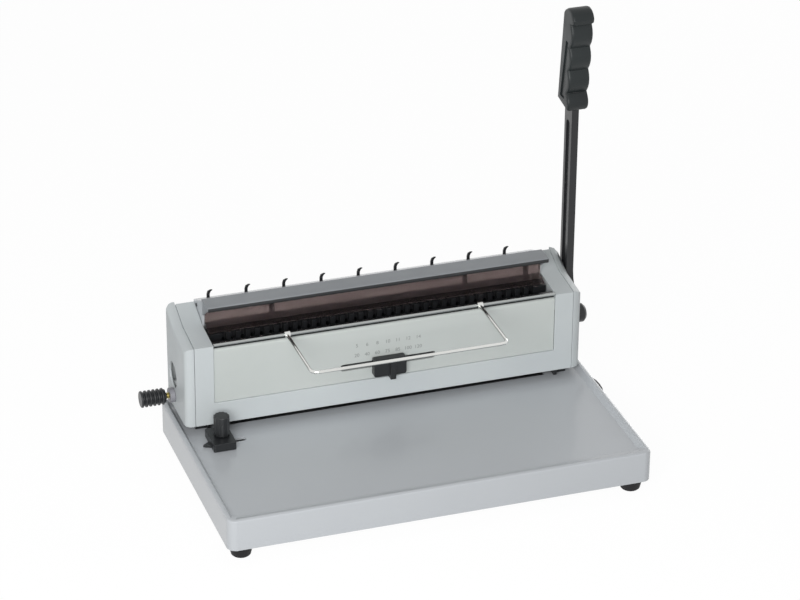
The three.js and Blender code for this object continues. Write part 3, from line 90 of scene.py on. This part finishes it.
class Graph:
    """A material's node tree, with short calls for the nodes in use."""

    def __init__(self, name):
        self.material = bpy.data.materials.new(name)
        self.material.use_nodes = True
        self.tree = self.material.node_tree
        self.shader = self.tree.nodes["Principled BSDF"]
        coordinates = self.node("ShaderNodeTexCoord")
        self.place = coordinates.outputs["Object"]

    def node(self, kind, **settings):
        made = self.tree.nodes.new(kind)
        for key, value in settings.items():
            setattr(made, key, value)
        return made

    def link(self, source, target):
        self.tree.links.new(source, target)

    def stretched(self, scale):
        """Object coordinates scaled by a different factor along each axis."""
        mapping = self.node("ShaderNodeMapping")
        mapping.inputs["Scale"].default_value = scale
        self.link(self.place, mapping.inputs["Vector"])
        return mapping.outputs["Vector"]

    def noise(self, scale, detail, stretch=None):
        made = self.node("ShaderNodeTexNoise")
        made.inputs["Scale"].default_value = scale
        made.inputs["Detail"].default_value = detail
        source = self.stretched(stretch) if stretch else self.place
        self.link(source, made.inputs["Vector"])
        return made.outputs["Fac"]

    def spread(self, source, low, high, start=0.3, end=0.7):
        """Values from start to end laid out from low to high. Most noise is from 0.3 to 0.7."""
        made = self.node("ShaderNodeMapRange")
        made.inputs["From Min"].default_value = start
        made.inputs["From Max"].default_value = end
        made.inputs["To Min"].default_value = low
        made.inputs["To Max"].default_value = high
        self.link(source, made.inputs["Value"])
        return made.outputs["Result"]

    def mix(self, factor, first, second):
        """Two colours, each a tuple or a socket, mixed by a socket."""
        made = self.node("ShaderNodeMix", data_type="RGBA")
        self.link(factor, made.inputs["Factor"])
        for value, index in ((first, MIX_FIRST), (second, MIX_SECOND)):
            socket = made.inputs[index]
            if isinstance(value, tuple):
                socket.default_value = value
            else:
                self.link(value, socket)
        return made.outputs[MIX_RESULT]

    def edges(self, radius):
        """Near 1 along the edges of the mesh, and 0 on its flat faces."""
        rounded = self.node("ShaderNodeBevel", samples=EDGE_SAMPLES)
        rounded.inputs["Radius"].default_value = radius
        flat = self.node("ShaderNodeNewGeometry")
        product = self.node("ShaderNodeVectorMath", operation="DOT_PRODUCT")
        self.link(rounded.outputs["Normal"], product.inputs[0])
        self.link(flat.outputs["True Normal"], product.inputs[1])
        return self.spread(product.outputs["Value"], 1.0, 0.0, EDGE_COSINE, FLAT_COSINE)

    def bump(self, source, strength, distance, below=None):
        """A normal shaped by a height, on top of the normal below it."""
        made = self.node("ShaderNodeBump")
        made.inputs["Strength"].default_value = strength
        made.inputs["Distance"].default_value = distance
        self.link(source, made.inputs["Height"])
        if below:
            self.link(below, made.inputs["Normal"])
        return made.outputs["Normal"]


# The scales of the noises are per metre, and WEAR_RADIUS is in metres.
PATCH_SCALE = 14.0
PATCH_DETAIL = 4.0
WEAR_RADIUS = 0.0005
WEAR_SCALE = 90.0
WEAR_DETAIL = 5.0
WEAR_START = 0.42
WEAR_END = 0.72
GLOSS_SCALE = 55.0
GLOSS_DETAIL = 6.0
GRAIN_DETAIL = 2.0
GRAIN_STRENGTH = 0.5
WAVE_SCALE = 9.0
WAVE_DETAIL = 1.0
WAVE_STRENGTH = 0.25
COAT_ROUGHNESS = 0.12


def finish_of(name, colour, other, rough, grain=900.0, grain_depth=0.02, wave=0.12, wear=None,
              stretch=None, metallic=0.0, coat=0.0, specular=0.5, transmission=0.0, ior=1.5):
    """A surface of two mottled tones, with uneven gloss, a fine grain and a slow wave.

    Colours are in sRGB from 0 to 255, rough is the range of the roughness, wear is the tone of
    worn edges, and the depths of the grain and the wave are in millimetres.
    """
    graph = Graph(name)
    shader = graph.shader
    patches = graph.spread(graph.noise(PATCH_SCALE, PATCH_DETAIL), 0.0, 1.0)
    tone = graph.mix(patches, rgb(*colour), rgb(*other))
    if wear:
        worn = graph.node("ShaderNodeMath", operation="MULTIPLY")
        graph.link(graph.edges(WEAR_RADIUS), worn.inputs[0])
        spots = graph.noise(WEAR_SCALE, WEAR_DETAIL)
        graph.link(graph.spread(spots, 0.0, 1.0, WEAR_START, WEAR_END), worn.inputs[1])
        tone = graph.mix(worn.outputs["Value"], tone, rgb(*wear))
    graph.link(tone, shader.inputs["Base Color"])
    gloss = graph.spread(graph.noise(GLOSS_SCALE, GLOSS_DETAIL, stretch), *rough)
    graph.link(gloss, shader.inputs["Roughness"])
    height = graph.noise(grain, GRAIN_DETAIL, stretch)
    fine = graph.bump(height, GRAIN_STRENGTH, grain_depth * MM)
    swell = graph.bump(graph.noise(WAVE_SCALE, WAVE_DETAIL), WAVE_STRENGTH, wave * MM, fine)
    graph.link(swell, shader.inputs["Normal"])
    shader.inputs["Metallic"].default_value = metallic
    shader.inputs["Coat Weight"].default_value = coat
    shader.inputs["Coat Roughness"].default_value = COAT_ROUGHNESS
    shader.inputs["Specular IOR Level"].default_value = specular
    shader.inputs["Transmission Weight"].default_value = transmission
    shader.inputs["IOR"].default_value = ior
    return graph.material


# Makes a noise twelve times finer along Y.
BRUSHED = (1.0, 12.0, 1.0)

LOOKS = {
    "body_paint": {
        "colour": (194, 198, 202), "other": (192, 196, 200), "rough": (0.24, 0.27),
        "grain": 1500.0, "grain_depth": 0.01, "coat": 0.22, "wave": 0.05},
    "cover_plastic": {
        "colour": (203, 209, 210), "other": (198, 204, 206), "rough": (0.42, 0.52),
        "grain": 1100.0, "grain_depth": 0.03, "wear": (232, 236, 236), "specular": 0.38},
    "panel_paint": {
        "colour": (202, 207, 204), "other": (197, 203, 200), "rough": (0.34, 0.42),
        "grain": 1300.0, "grain_depth": 0.015, "wear": (224, 228, 226), "coat": 0.15},
    "hood_plastic": {
        "colour": (145, 149, 153), "other": (139, 143, 147), "rough": (0.42, 0.52),
        "grain": 1100.0, "grain_depth": 0.03, "wear": (158, 161, 165)},
    "rail_plastic": {
        "colour": (190, 192, 192), "other": (182, 185, 185), "rough": (0.4, 0.5),
        "wear": (210, 211, 211)},
    "smoked_plastic": {
        "colour": (206, 193, 191), "other": (200, 186, 185), "rough": (0.05, 0.11),
        "grain": 300.0, "grain_depth": 0.004, "transmission": 0.985, "ior": 1.25},
    "black_plastic": {
        "colour": (34, 36, 38), "other": (28, 30, 32), "rough": (0.3, 0.42),
        "grain": 1100.0, "grain_depth": 0.03, "wear": (70, 73, 76)},
    "foot_rubber": {
        "colour": (20, 20, 22), "other": (26, 26, 28), "rough": (0.55, 0.7),
        "grain": 700.0, "grain_depth": 0.06, "specular": 0.3},
    "grip_rubber": {
        "colour": (40, 45, 46), "other": (28, 32, 33), "rough": (0.32, 0.42),
        "grain": 700.0, "grain_depth": 0.05, "wear": (66, 72, 72), "specular": 0.3},
    "black_steel": {
        "colour": (35, 36, 38), "other": (29, 30, 32), "rough": (0.28, 0.38),
        "wear": (92, 94, 96), "coat": 0.1, "specular": 0.4},
    "plain_steel": {
        "colour": (176, 178, 180), "other": (158, 160, 163), "rough": (0.3, 0.45),
        "stretch": BRUSHED, "metallic": 1.0, "wear": (205, 206, 208)},
    "collar_plastic": {
        "colour": (146, 146, 152), "other": (140, 140, 146), "rough": (0.4, 0.5),
        "wear": (170, 170, 175)},
    "rod_steel": {
        "colour": (174, 177, 176), "other": (164, 167, 166), "rough": (0.14, 0.22),
        "grain": 400.0, "grain_depth": 0.002, "metallic": 1.0},
    "bright_chrome": {
        "colour": (222, 223, 220), "other": (212, 213, 210), "rough": (0.08, 0.14),
        "grain": 400.0, "grain_depth": 0.002, "metallic": 1.0},
    "brass_screw": {
        "colour": (206, 196, 148), "other": (190, 180, 130), "rough": (0.2, 0.32),
        "grain": 600.0, "grain_depth": 0.01, "metallic": 1.0, "wear": (232, 222, 176)},
    "bronze_bush": {
        "colour": (150, 128, 88), "other": (130, 108, 72), "rough": (0.4, 0.55),
        "grain": 1400.0, "grain_depth": 0.04, "metallic": 1.0},
    "print_ink": {
        "colour": (136, 140, 139), "other": (150, 154, 153), "rough": (0.5, 0.6),
        "grain_depth": 0.004},
}

# The CAD nodes in each look, and the width in millimetres to which their edges are rounded.
FINISHES = {
    "body_paint": {
        "base_tray": 0.55, "chip_drawer": 0.15, "rear_cover": 0.3, "top_cover": 0.35},
    "cover_plastic": {
        "front_frame": 0.5, "left_side_cover": 0.5, "right_side_cover": 0.5},
    "panel_paint": {"front_panel": 0.35},
    "hood_plastic": {"hood_strip": 0.3},
    "rail_plastic": {"closer_guide_rail": 0.25},
    "collar_plastic": {"margin_collar": 0.3},
    "rod_steel": {"hinge_rod": 0.0},
    "smoked_plastic": {"smoked_guard": 0.15},
    "black_plastic": {
        "drawer_pull": 0.4, "wire_rest": 0.15, "size_slider": 0.3, "margin_knob": 0.2,
        "side_guide": 0.4, "side_guide_knob": 0.2, "lever_bolt": 0.5},
    "foot_rubber": {
        "foot_front_left": 0.4, "foot_front_right": 0.4, "foot_rear_left": 0.4,
        "foot_rear_right": 0.4},
    "grip_rubber": {"lever_grip": 0.8},
    "black_steel": {
        "guide_plate": 0.1, "closing_bar": 0.15, "front_jaw": 0.15, "wire_hooks": 0.2,
        "lever_arm": 0.6, "left_frame_plate": 0.15, "right_frame_plate": 0.15,
        "back_stop": 0.1, "edge_stop": 0.15},
    "plain_steel": {
        "base_plate": 0.2, "drawer_rail_front": 0.1, "drawer_rail_rear": 0.1,
        "die_plate": 0.1, "drive_shaft": 0.2, "pinion_left": 0.0, "pinion_right": 0.0,
        "punch_beam": 0.2, "punch_rack_left": 0.0, "punch_rack_right": 0.0,
        "punch_pins": 0.0, "closer_arm_left": 0.15, "closer_arm_right": 0.15,
        "closer_crossbar": 0.15, "size_wedge": 0.1, "side_guide_stud": 0.1},
    "bright_chrome": {"bail": 0.0},
    "brass_screw": {"margin_screw": 0.1},
    "bronze_bush": {"left_bearing": 0.1, "right_bearing": 0.1},
}

# Vertices closer than WELD millimetres are one, and faces that turn by less than FLAT degrees
# are one. Edges that turn by more than CREASE degrees are rounded, and shaded as edges.
WELD = 0.002
FLAT = 0.4
CREASE = 34
ROUND_SEGMENTS = 2

# The bail is a round wire with few sides, so it stays smooth up to a wider angle.
CREASES = {"bail": 60}


def dress(node, material, width):
    """Gives a CAD node its finish, and rounds its edges without moving a vertex."""
    node.data.materials.clear()
    node.data.materials.append(material)
    for face in node.data.polygons:
        face.use_smooth = True
    weld = node.modifiers.new("weld", "WELD")
    weld.merge_threshold = WELD * MM
    if width:
        flats = node.modifiers.new("flats", "DECIMATE")
        flats.decimate_type = "DISSOLVE"
        flats.angle_limit = math.radians(FLAT)
        rounding = node.modifiers.new("rounding", "BEVEL")
        rounding.width = width * MM
        rounding.segments = ROUND_SEGMENTS
        rounding.limit_method = "ANGLE"
        rounding.angle_limit = math.radians(CREASE)
        rounding.use_clamp_overlap = True
    split = node.modifiers.new("split", "EDGE_SPLIT")
    split.split_angle = math.radians(CREASES.get(node.name, CREASE))
    split.use_edge_sharp = False
    even = node.modifiers.new("even", "WEIGHTED_NORMAL")
    even.mode = "FACE_AREA"
    even.keep_sharp = True


def add(name, data):
    """A new object in the scene."""
    obj = bpy.data.objects.new(name, data)
    bpy.context.scene.collection.objects.link(obj)
    return obj


def piece(name, body, mesh, material):
    """A new piece with that mesh, riding on a CAD body."""
    obj = add(name, mesh)
    mesh.materials.append(material)
    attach(obj, body)
    return obj


def mesh_of(name, vertices, faces, smooth=True):
    mesh = bpy.data.meshes.new(name)
    mesh.from_pydata([tuple(v) for v in vertices], [], faces)
    mesh.update()
    for face in mesh.polygons:
        face.use_smooth = smooth
    return mesh


def crisp(obj, angle):
    """Shades the edges that turn by more than that angle, in degrees, as edges."""
    split = obj.modifiers.new("crisp", "EDGE_SPLIT")
    split.split_angle = math.radians(angle)


SCREW_SIDES = 32
SCREW_CRISP = 40
SCREW_SPIN = 0.7
# The dome, as shares of the head's radius and height.
SCREW_PROFILE = ((1.0, 0.0), (1.0, 0.3), (0.93, 0.62), (0.78, 0.86), (0.55, 0.97), (0.3, 1.0))
# The recess: its reach and half its width as shares of the radius, its depth as a share of the
# height, and the top of its cutter in heights of the head.
CROSS_REACH = 0.58
CROSS_HALF = 0.12
CROSS_DEPTH = 0.45
CROSS_TOP = 1.4


def screw_shape(radius, height):
    """A domed screw head, standing on the plane z = 0."""
    vertices = []
    faces = []
    for share, rise in SCREW_PROFILE:
        reach = radius * share
        for i in range(SCREW_SIDES):
            turn = TURN * i / SCREW_SIDES
            vertices.append((reach * math.cos(turn), reach * math.sin(turn), height * rise))
    last = len(SCREW_PROFILE) - 1
    for level in range(last):
        for i in range(SCREW_SIDES):
            j = (i + 1) % SCREW_SIDES
            low, high = level * SCREW_SIDES, (level + 1) * SCREW_SIDES
            faces.append((low + i, low + j, high + j, high + i))
    faces.append(tuple(last * SCREW_SIDES + i for i in range(SCREW_SIDES)))
    faces.append(tuple(reversed(range(SCREW_SIDES))))
    return vertices, faces


def cross_cutter(radius, height):
    """The twelve-sided prism that cuts the cross recess out of a screw head."""
    reach, half = radius * CROSS_REACH, radius * CROSS_HALF
    quarter = [(reach, -half), (reach, half), (half, half)]
    ring = []
    for i in range(4):
        turn = TURN * i / 4
        cosine, sine = round(math.cos(turn)), round(math.sin(turn))
        ring += [(x * cosine - y * sine, x * sine + y * cosine) for x, y in quarter]
    low = height * (1 - CROSS_DEPTH)
    high = height * CROSS_TOP
    count = len(ring)
    vertices = [(x, y, low) for x, y in ring] + [(x, y, high) for x, y in ring]
    faces = [tuple(reversed(range(count))), tuple(range(count, 2 * count))]
    for i in range(count):
        j = (i + 1) % count
        faces.append((i, j, count + j, count + i))
    return vertices, faces


def screws(name, body, material, points, facing, radius, height):
    """Screw heads, one mesh each, that stand on those points and face one direction."""
    size = (radius * MM, height * MM)
    cutter_name, blank_name = name + "_cutter", name + "_blank"
    cutter = add(cutter_name, mesh_of(cutter_name, *cross_cutter(*size), smooth=False))
    blank = add(blank_name, mesh_of(blank_name, *screw_shape(*size)))
    recess = blank.modifiers.new("recess", "BOOLEAN")
    recess.operation = "DIFFERENCE"
    recess.object = cutter
    recess.solver = "EXACT"
    bpy.context.view_layer.update()
    graph = bpy.context.evaluated_depsgraph_get()
    whole = bpy.data.meshes.new_from_object(blank.evaluated_get(graph))
    for obj in (cutter, blank):
        bpy.data.objects.remove(obj)
    turned = Vector(facing).to_track_quat("Z", "Y").to_matrix().to_4x4()
    for index, point in enumerate(points):
        copy = whole.copy()
        copy.materials.clear()
        spin = Matrix.Rotation(SCREW_SPIN * index, 4, "Z")
        copy.transform(Matrix.Translation(point) @ turned @ spin)
        crisp(piece(f"{name}_{index + 1}", body, copy, material), SCREW_CRISP)


def tube(rings, count):
    """The faces between each ring of that many vertices and the next."""
    faces = []
    for i in range(rings):
        for j in range(count):
            k = (j + 1) % count
            near, far = i * count, (i + 1) * count
            faces.append((near + j, far + j, far + k, near + k))
    return faces


THREAD_START = -188.7
THREAD_END = -181.3
THREAD_Y = 190.4
THREAD_Z = 57.5
THREAD_RADIUS = 2.5
THREAD_HEIGHT = 0.42
THREAD_PITCH = 1.0
THREAD_SIDES = 24
THREAD_CORNERS = 3
# The ridge grows and fades over THREAD_FADE sides. Its feet lie below the screw's surface, and
# its three corners stand at these shares of the pitch.
THREAD_FADE = 6
THREAD_SINK = -0.12
THREAD_LOW, THREAD_CREST, THREAD_HIGH = 0.06, 0.5, 0.94


def thread_piece(name, material):
    """The helical ridge along the margin screw, closed at both ends."""
    length = THREAD_END - THREAD_START - THREAD_PITCH
    steps = int(length / THREAD_PITCH * THREAD_SIDES)
    vertices = []
    for i in range(steps + 1):
        turn = TURN * i / THREAD_SIDES
        x = THREAD_START + THREAD_PITCH * i / THREAD_SIDES
        rise = THREAD_HEIGHT * min(1.0, i / THREAD_FADE, (steps - i) / THREAD_FADE)
        ridge = ((THREAD_LOW, THREAD_SINK), (THREAD_CREST, rise), (THREAD_HIGH, THREAD_SINK))
        for along, out in ridge:
            reach = THREAD_RADIUS + out
            y = THREAD_Y + reach * math.cos(turn)
            z = THREAD_Z + reach * math.sin(turn)
            vertices.append(at(x + THREAD_PITCH * along, y, z))
    last = steps * THREAD_CORNERS
    faces = [(0, 1, 2)] + tube(steps, THREAD_CORNERS) + [(last + 2, last + 1, last)]
    mesh = mesh_of(name, vertices, faces, smooth=False)
    shell = bmesh.new()
    shell.from_mesh(mesh)
    bmesh.ops.recalc_face_normals(shell, faces=shell.faces)
    shell.to_mesh(mesh)
    shell.free()
    piece(name, "margin_adjuster", mesh, material)


PANEL_FACE = 154.5
SCALE_LEFT = -27.0
SCALE_STEP = 9.3
SCALE_SIZE = 4.6
SCALE_HALF_DEPTH = 0.02
SCALE_PROUD = 0.03
# The height of each row of the scale, and its numbers from left to right.
SCALE_ROWS = (
    (98.0, ("5", "6", "8", "10", "11", "12", "14")),
    (88.6, ("20", "40", "60", "75", "85", "100", "120")),
)


def number(name, text, point, material):
    """A generic number printed on the front panel, its middle at that point."""
    curve = bpy.data.curves.new(name, "FONT")
    curve.body = text
    curve.size = SCALE_SIZE * MM
    curve.align_x = "CENTER"
    curve.align_y = "CENTER"
    curve.extrude = SCALE_HALF_DEPTH * MM
    curve.materials.append(material)
    obj = add(name, curve)
    upright = Matrix.Rotation(math.radians(90), 4, "X")
    obj.matrix_world = Matrix.Translation(point) @ upright
    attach(obj, "frame")


# The dark strip on the hood's front lip is painted shade: it darkens the lip's face, which lies
# in shade.
LIP_SHADE_HALF = 154.2
LIP_SHADE_FRONT = 170.5
LIP_SHADE_BACK = 171.0
LIP_SHADE_LOW = 142.6
LIP_SHADE_HIGH = 145.7
LIP_SHADE_SEGMENTS = 48
LIP_SHADE_CRISP = 50
# Its front corners are rounded in two steps. It waves by LIP_SHADE_WAVE, and turns the wave by
# LIP_SHADE_WAVE_TURN radians from one segment to the next.
LIP_SHADE_STEP_Y = 0.15
LIP_SHADE_STEP_Z = 0.05
LIP_SHADE_ROUND = 0.4
LIP_SHADE_WAVE = 0.03
LIP_SHADE_WAVE_TURN = 2.1


def lip_shade_strip_piece(name, material):
    """A soft dark strip along the hood's front lip: a rounded section, swept along X. It is
    painted shade, darkening the lip's face where it lies in shade.
    """
    step_y = LIP_SHADE_FRONT + LIP_SHADE_STEP_Y
    section = [
        (LIP_SHADE_BACK, LIP_SHADE_LOW), (step_y, LIP_SHADE_LOW + LIP_SHADE_STEP_Z),
        (LIP_SHADE_FRONT, LIP_SHADE_LOW + LIP_SHADE_ROUND), (LIP_SHADE_FRONT, LIP_SHADE_HIGH - LIP_SHADE_ROUND),
        (step_y, LIP_SHADE_HIGH - LIP_SHADE_STEP_Z), (LIP_SHADE_BACK, LIP_SHADE_HIGH)]
    vertices = []
    for i in range(LIP_SHADE_SEGMENTS + 1):
        x = -LIP_SHADE_HALF + 2 * LIP_SHADE_HALF * i / LIP_SHADE_SEGMENTS
        swell = LIP_SHADE_WAVE * math.sin(i * LIP_SHADE_WAVE_TURN)
        vertices += [at(x, y if y == LIP_SHADE_BACK else y + swell, z) for y, z in section]
    count = len(section)
    last = LIP_SHADE_SEGMENTS * count
    faces = [tuple(range(count)), tuple(reversed(range(last, last + count)))]
    for i in range(LIP_SHADE_SEGMENTS):
        for j in range(count):
            k = (j + 1) % count
            near, far = i * count, (i + 1) * count
            faces.append((near + k, near + j, far + j, far + k))
    mesh = mesh_of(name, vertices, faces)
    crisp(piece(name, "frame", mesh, material), LIP_SHADE_CRISP)


# The dark strip below the rod is painted shade: it stands for the shadowed gap between the rod
# and the front panel's top edge.
ROD_SHADE_HALF = 154.3
ROD_SHADE_FRONT = 156.0
ROD_SHADE_BACK = 158.4
ROD_SHADE_LOW = 115.85
ROD_SHADE_HIGH = 116.2


def rod_shade_strip_piece(name, material):
    """A thin dark strip on the top edge of the front panel, below the rod. It is painted shade,
    standing for the shadowed gap under the rod.
    """
    sides = [(-ROD_SHADE_HALF, ROD_SHADE_HALF), (ROD_SHADE_FRONT, ROD_SHADE_BACK), (ROD_SHADE_LOW, ROD_SHADE_HIGH)]
    vertices = [at(x, y, z) for x in sides[0] for y in sides[1] for z in sides[2]]
    faces = [(0, 1, 3, 2), (4, 6, 7, 5), (0, 4, 5, 1), (2, 3, 7, 6), (0, 2, 6, 4), (1, 5, 7, 3)]
    mesh = mesh_of(name, vertices, faces, smooth=False)
    piece(name, "frame", mesh, material)


SPRING_X = 146.0
SPRING_Y = 171.25
SPRING_FOOT = 46.1
SPRING_TOP = 65.7
SPRING_RADIUS = 2.9
SPRING_WIRE = 0.45
SPRING_TURNS = 7
SPRING_STEPS = 36
SPRING_SIDES = 10


def spring_piece(name, node, middle, material):
    """A coil spring in the place of its CAD node, which is hidden. The real spring shortens as
    the punch goes down; this piece keeps one length.
    """
    rings = SPRING_TURNS * SPRING_STEPS
    low, high = SPRING_FOOT + SPRING_WIRE, SPRING_TOP - SPRING_WIRE
    slope = (high - low) / (SPRING_TURNS * TURN * SPRING_RADIUS)
    vertices = []
    for i in range(rings + 1):
        turn = TURN * i / SPRING_STEPS
        outward = Vector((math.cos(turn), math.sin(turn), 0.0))
        along = Vector((-math.sin(turn), math.cos(turn), slope)).normalized()
        upward = outward.cross(along)
        rise = low + (high - low) * i / rings
        centre = Vector((middle, SPRING_Y, rise)) + outward * SPRING_RADIUS
        for j in range(SPRING_SIDES):
            lean = TURN * j / SPRING_SIDES
            skin = centre + (outward * math.cos(lean) + upward * math.sin(lean)) * SPRING_WIRE
            vertices.append(at(*skin))
    count = SPRING_SIDES
    last = rings * count
    ends = [tuple(range(count)), tuple(reversed(range(last, last + count)))]
    mesh = mesh_of(name, vertices, ends + tube(rings, count))
    made = piece(name, "frame", mesh, material)
    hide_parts(node)
    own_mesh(made)


FOOT_SCREW_X = 173.0
FOOT_SCREW_Y = (14.0, 202.0)
FOOT_SCREW_Z = 5.0
HOOD_SCREW = (-154.6, 206.5, 132.6)
REAR_SCREW_X = 164.0
REAR_SCREW_Z = (48.0, 112.0)
REAR_FACE = 216.0


def make_pieces(materials):
    steel = materials["plain_steel"]
    dark = materials["black_steel"]
    for row, (height, texts) in enumerate(SCALE_ROWS):
        for column, text in enumerate(texts):
            point = at(SCALE_LEFT + SCALE_STEP * column, PANEL_FACE - SCALE_PROUD, height)
            name = f"scale_number_{row + 1}_{column + 1}"
            number(name, text, point, materials["print_ink"])

    for side, middle in (("left", -SPRING_X), ("right", SPRING_X)):
        spring_piece("return_spring_" + side, "punch_spring_" + side, middle, steel)

    # The dark strip on the hood's lip is painted shade.
    lip_shade_strip_piece("hood_lip_shade_strip", materials["black_plastic"])
    # The dark strip under the rod is painted shade.
    rod_shade_strip_piece("rod_shade_strip", materials["black_plastic"])

    feet = [at(x, y, FOOT_SCREW_Z) for y in FOOT_SCREW_Y for x in (-FOOT_SCREW_X, FOOT_SCREW_X)]
    screws("foot_screw", "frame", steel, feet, (0, 0, -1), radius=2.7, height=1.8)

    hood = [at(*HOOD_SCREW)]
    screws("hood_screw", "frame", dark, hood, (-1, 0, 0), radius=1.7, height=0.7)

    rear = [at(x, REAR_FACE, z) for z in REAR_SCREW_Z for x in (-REAR_SCREW_X, REAR_SCREW_X)]
    screws("rear_screw", "frame", dark, rear, (0, 1, 0), radius=3.2, height=1.6)

    thread_piece("margin_thread", materials["brass_screw"])


# The camera's place in metres, and the directions of its own three axes. CLIP_END is in metres.
CAMERA_PLACE = (-0.784099, -2.297561, 1.432389)
CAMERA_RIGHT = (0.947429, -0.31987, 0.007804)
CAMERA_UP = (0.141756, 0.441487, 0.885999)
CAMERA_BACK = (-0.28685, -0.838316, 0.463621)
LENS = 146.65
SENSOR_WIDTH = 36.0
CLIP_END = 50.0


def make_camera():
    data = bpy.data.cameras.new("camera")
    data.lens = LENS
    data.sensor_width = SENSOR_WIDTH
    data.clip_end = CLIP_END
    camera = add("camera", data)
    turned = Matrix((CAMERA_RIGHT, CAMERA_UP, CAMERA_BACK)).transposed().to_4x4()
    camera.matrix_world = Matrix.Translation(CAMERA_PLACE) @ turned
    bpy.context.scene.camera = camera


# Each lamp's place and size in metres, and its power in watts. All point at LAMP_AIM.
LAMP_AIM = (0.0, 0.0, 0.08)
LAMPS = {
    "key": ((-0.6, -1.12, 0.66), (0.8, 0.6), 13.7),
    "fill": ((2.4, 1.9, 0.8), (1.8, 1.4), 20.0),
}


def make_lamp(name, place, size, watts):
    data = bpy.data.lights.new(name, "AREA")
    data.shape = "RECTANGLE"
    data.size, data.size_y = size
    data.energy = watts
    lamp = add(name, data)
    turned = (Vector(place) - Vector(LAMP_AIM)).to_track_quat("Z", "Y").to_matrix().to_4x4()
    lamp.matrix_world = Matrix.Translation(place) @ turned


# The world is white to the camera, and lights the object by AMBIENT of that.
WHITE = (1.0, 1.0, 1.0, 1.0)
AMBIENT = 0.35


def camera_share(tree):
    """A socket that is 1 for the camera, a reflection or a look through glass, and else 0."""
    path = tree.nodes.new("ShaderNodeLightPath")
    total = path.outputs["Is Camera Ray"]
    for output in ("Is Glossy Ray", "Is Transmission Ray"):
        joined = tree.nodes.new("ShaderNodeMath")
        joined.operation = "MAXIMUM"
        tree.links.new(total, joined.inputs[0])
        tree.links.new(path.outputs[output], joined.inputs[1])
        total = joined.outputs["Value"]
    return total


def make_world():
    world = bpy.data.worlds.new("studio")
    world.use_nodes = True
    bpy.context.scene.world = world
    tree = world.node_tree
    background = tree.nodes["Background"]
    background.inputs["Color"].default_value = WHITE
    strength = tree.nodes.new("ShaderNodeMapRange")
    strength.inputs["To Min"].default_value = AMBIENT
    strength.inputs["To Max"].default_value = 1.0
    tree.links.new(camera_share(tree), strength.inputs["Value"])
    tree.links.new(strength.outputs["Result"], background.inputs["Strength"])


# The floor is grey and keeps the shadow. To the camera a share FLOOR_WHITE of it glows instead.
# It reaches FLOOR_REACH metres each way.
FLOOR_REACH = 9.0
FLOOR_GREY = (0.6, 0.6, 0.6, 1.0)
FLOOR_ROUGHNESS = 0.9
FLOOR_GLOW = 1.06
FLOOR_WHITE = 0.9


def make_floor():
    signs = ((-1, -1), (1, -1), (1, 1), (-1, 1))
    corners = [(FLOOR_REACH * x, FLOOR_REACH * y, 0.0) for x, y in signs]
    floor = add("floor", mesh_of("floor", corners, [(0, 1, 2, 3)], smooth=False))
    material = bpy.data.materials.new("floor")
    material.use_nodes = True
    tree = material.node_tree
    shader = tree.nodes["Principled BSDF"]
    shader.inputs["Base Color"].default_value = FLOOR_GREY
    shader.inputs["Roughness"].default_value = FLOOR_ROUGHNESS
    shader.inputs["Specular IOR Level"].default_value = 0.0
    glow = tree.nodes.new("ShaderNodeEmission")
    glow.inputs["Strength"].default_value = FLOOR_GLOW
    blend = tree.nodes.new("ShaderNodeMixShader")
    share = tree.nodes.new("ShaderNodeMapRange")
    share.inputs["To Max"].default_value = FLOOR_WHITE
    tree.links.new(camera_share(tree), share.inputs["Value"])
    tree.links.new(share.outputs["Result"], blend.inputs["Fac"])
    tree.links.new(shader.outputs["BSDF"], blend.inputs[1])
    tree.links.new(glow.outputs["Emission"], blend.inputs[2])
    tree.links.new(blend.outputs["Shader"], tree.nodes["Material Output"].inputs["Surface"])
    floor.data.materials.append(material)


def make_stage():
    make_camera()
    make_world()
    make_floor()
    for name, settings in LAMPS.items():
        make_lamp(name, *settings)
    bpy.context.scene.view_settings.view_transform = "Standard"


def main():
    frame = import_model()
    materials = {name: finish_of(name, **look) for name, look in LOOKS.items()}
    for slot, members in FINISHES.items():
        for name, width in members.items():
            dress(frame["nodes"][name], materials[slot], width)
    make_pieces(materials)
    make_stage()


main()
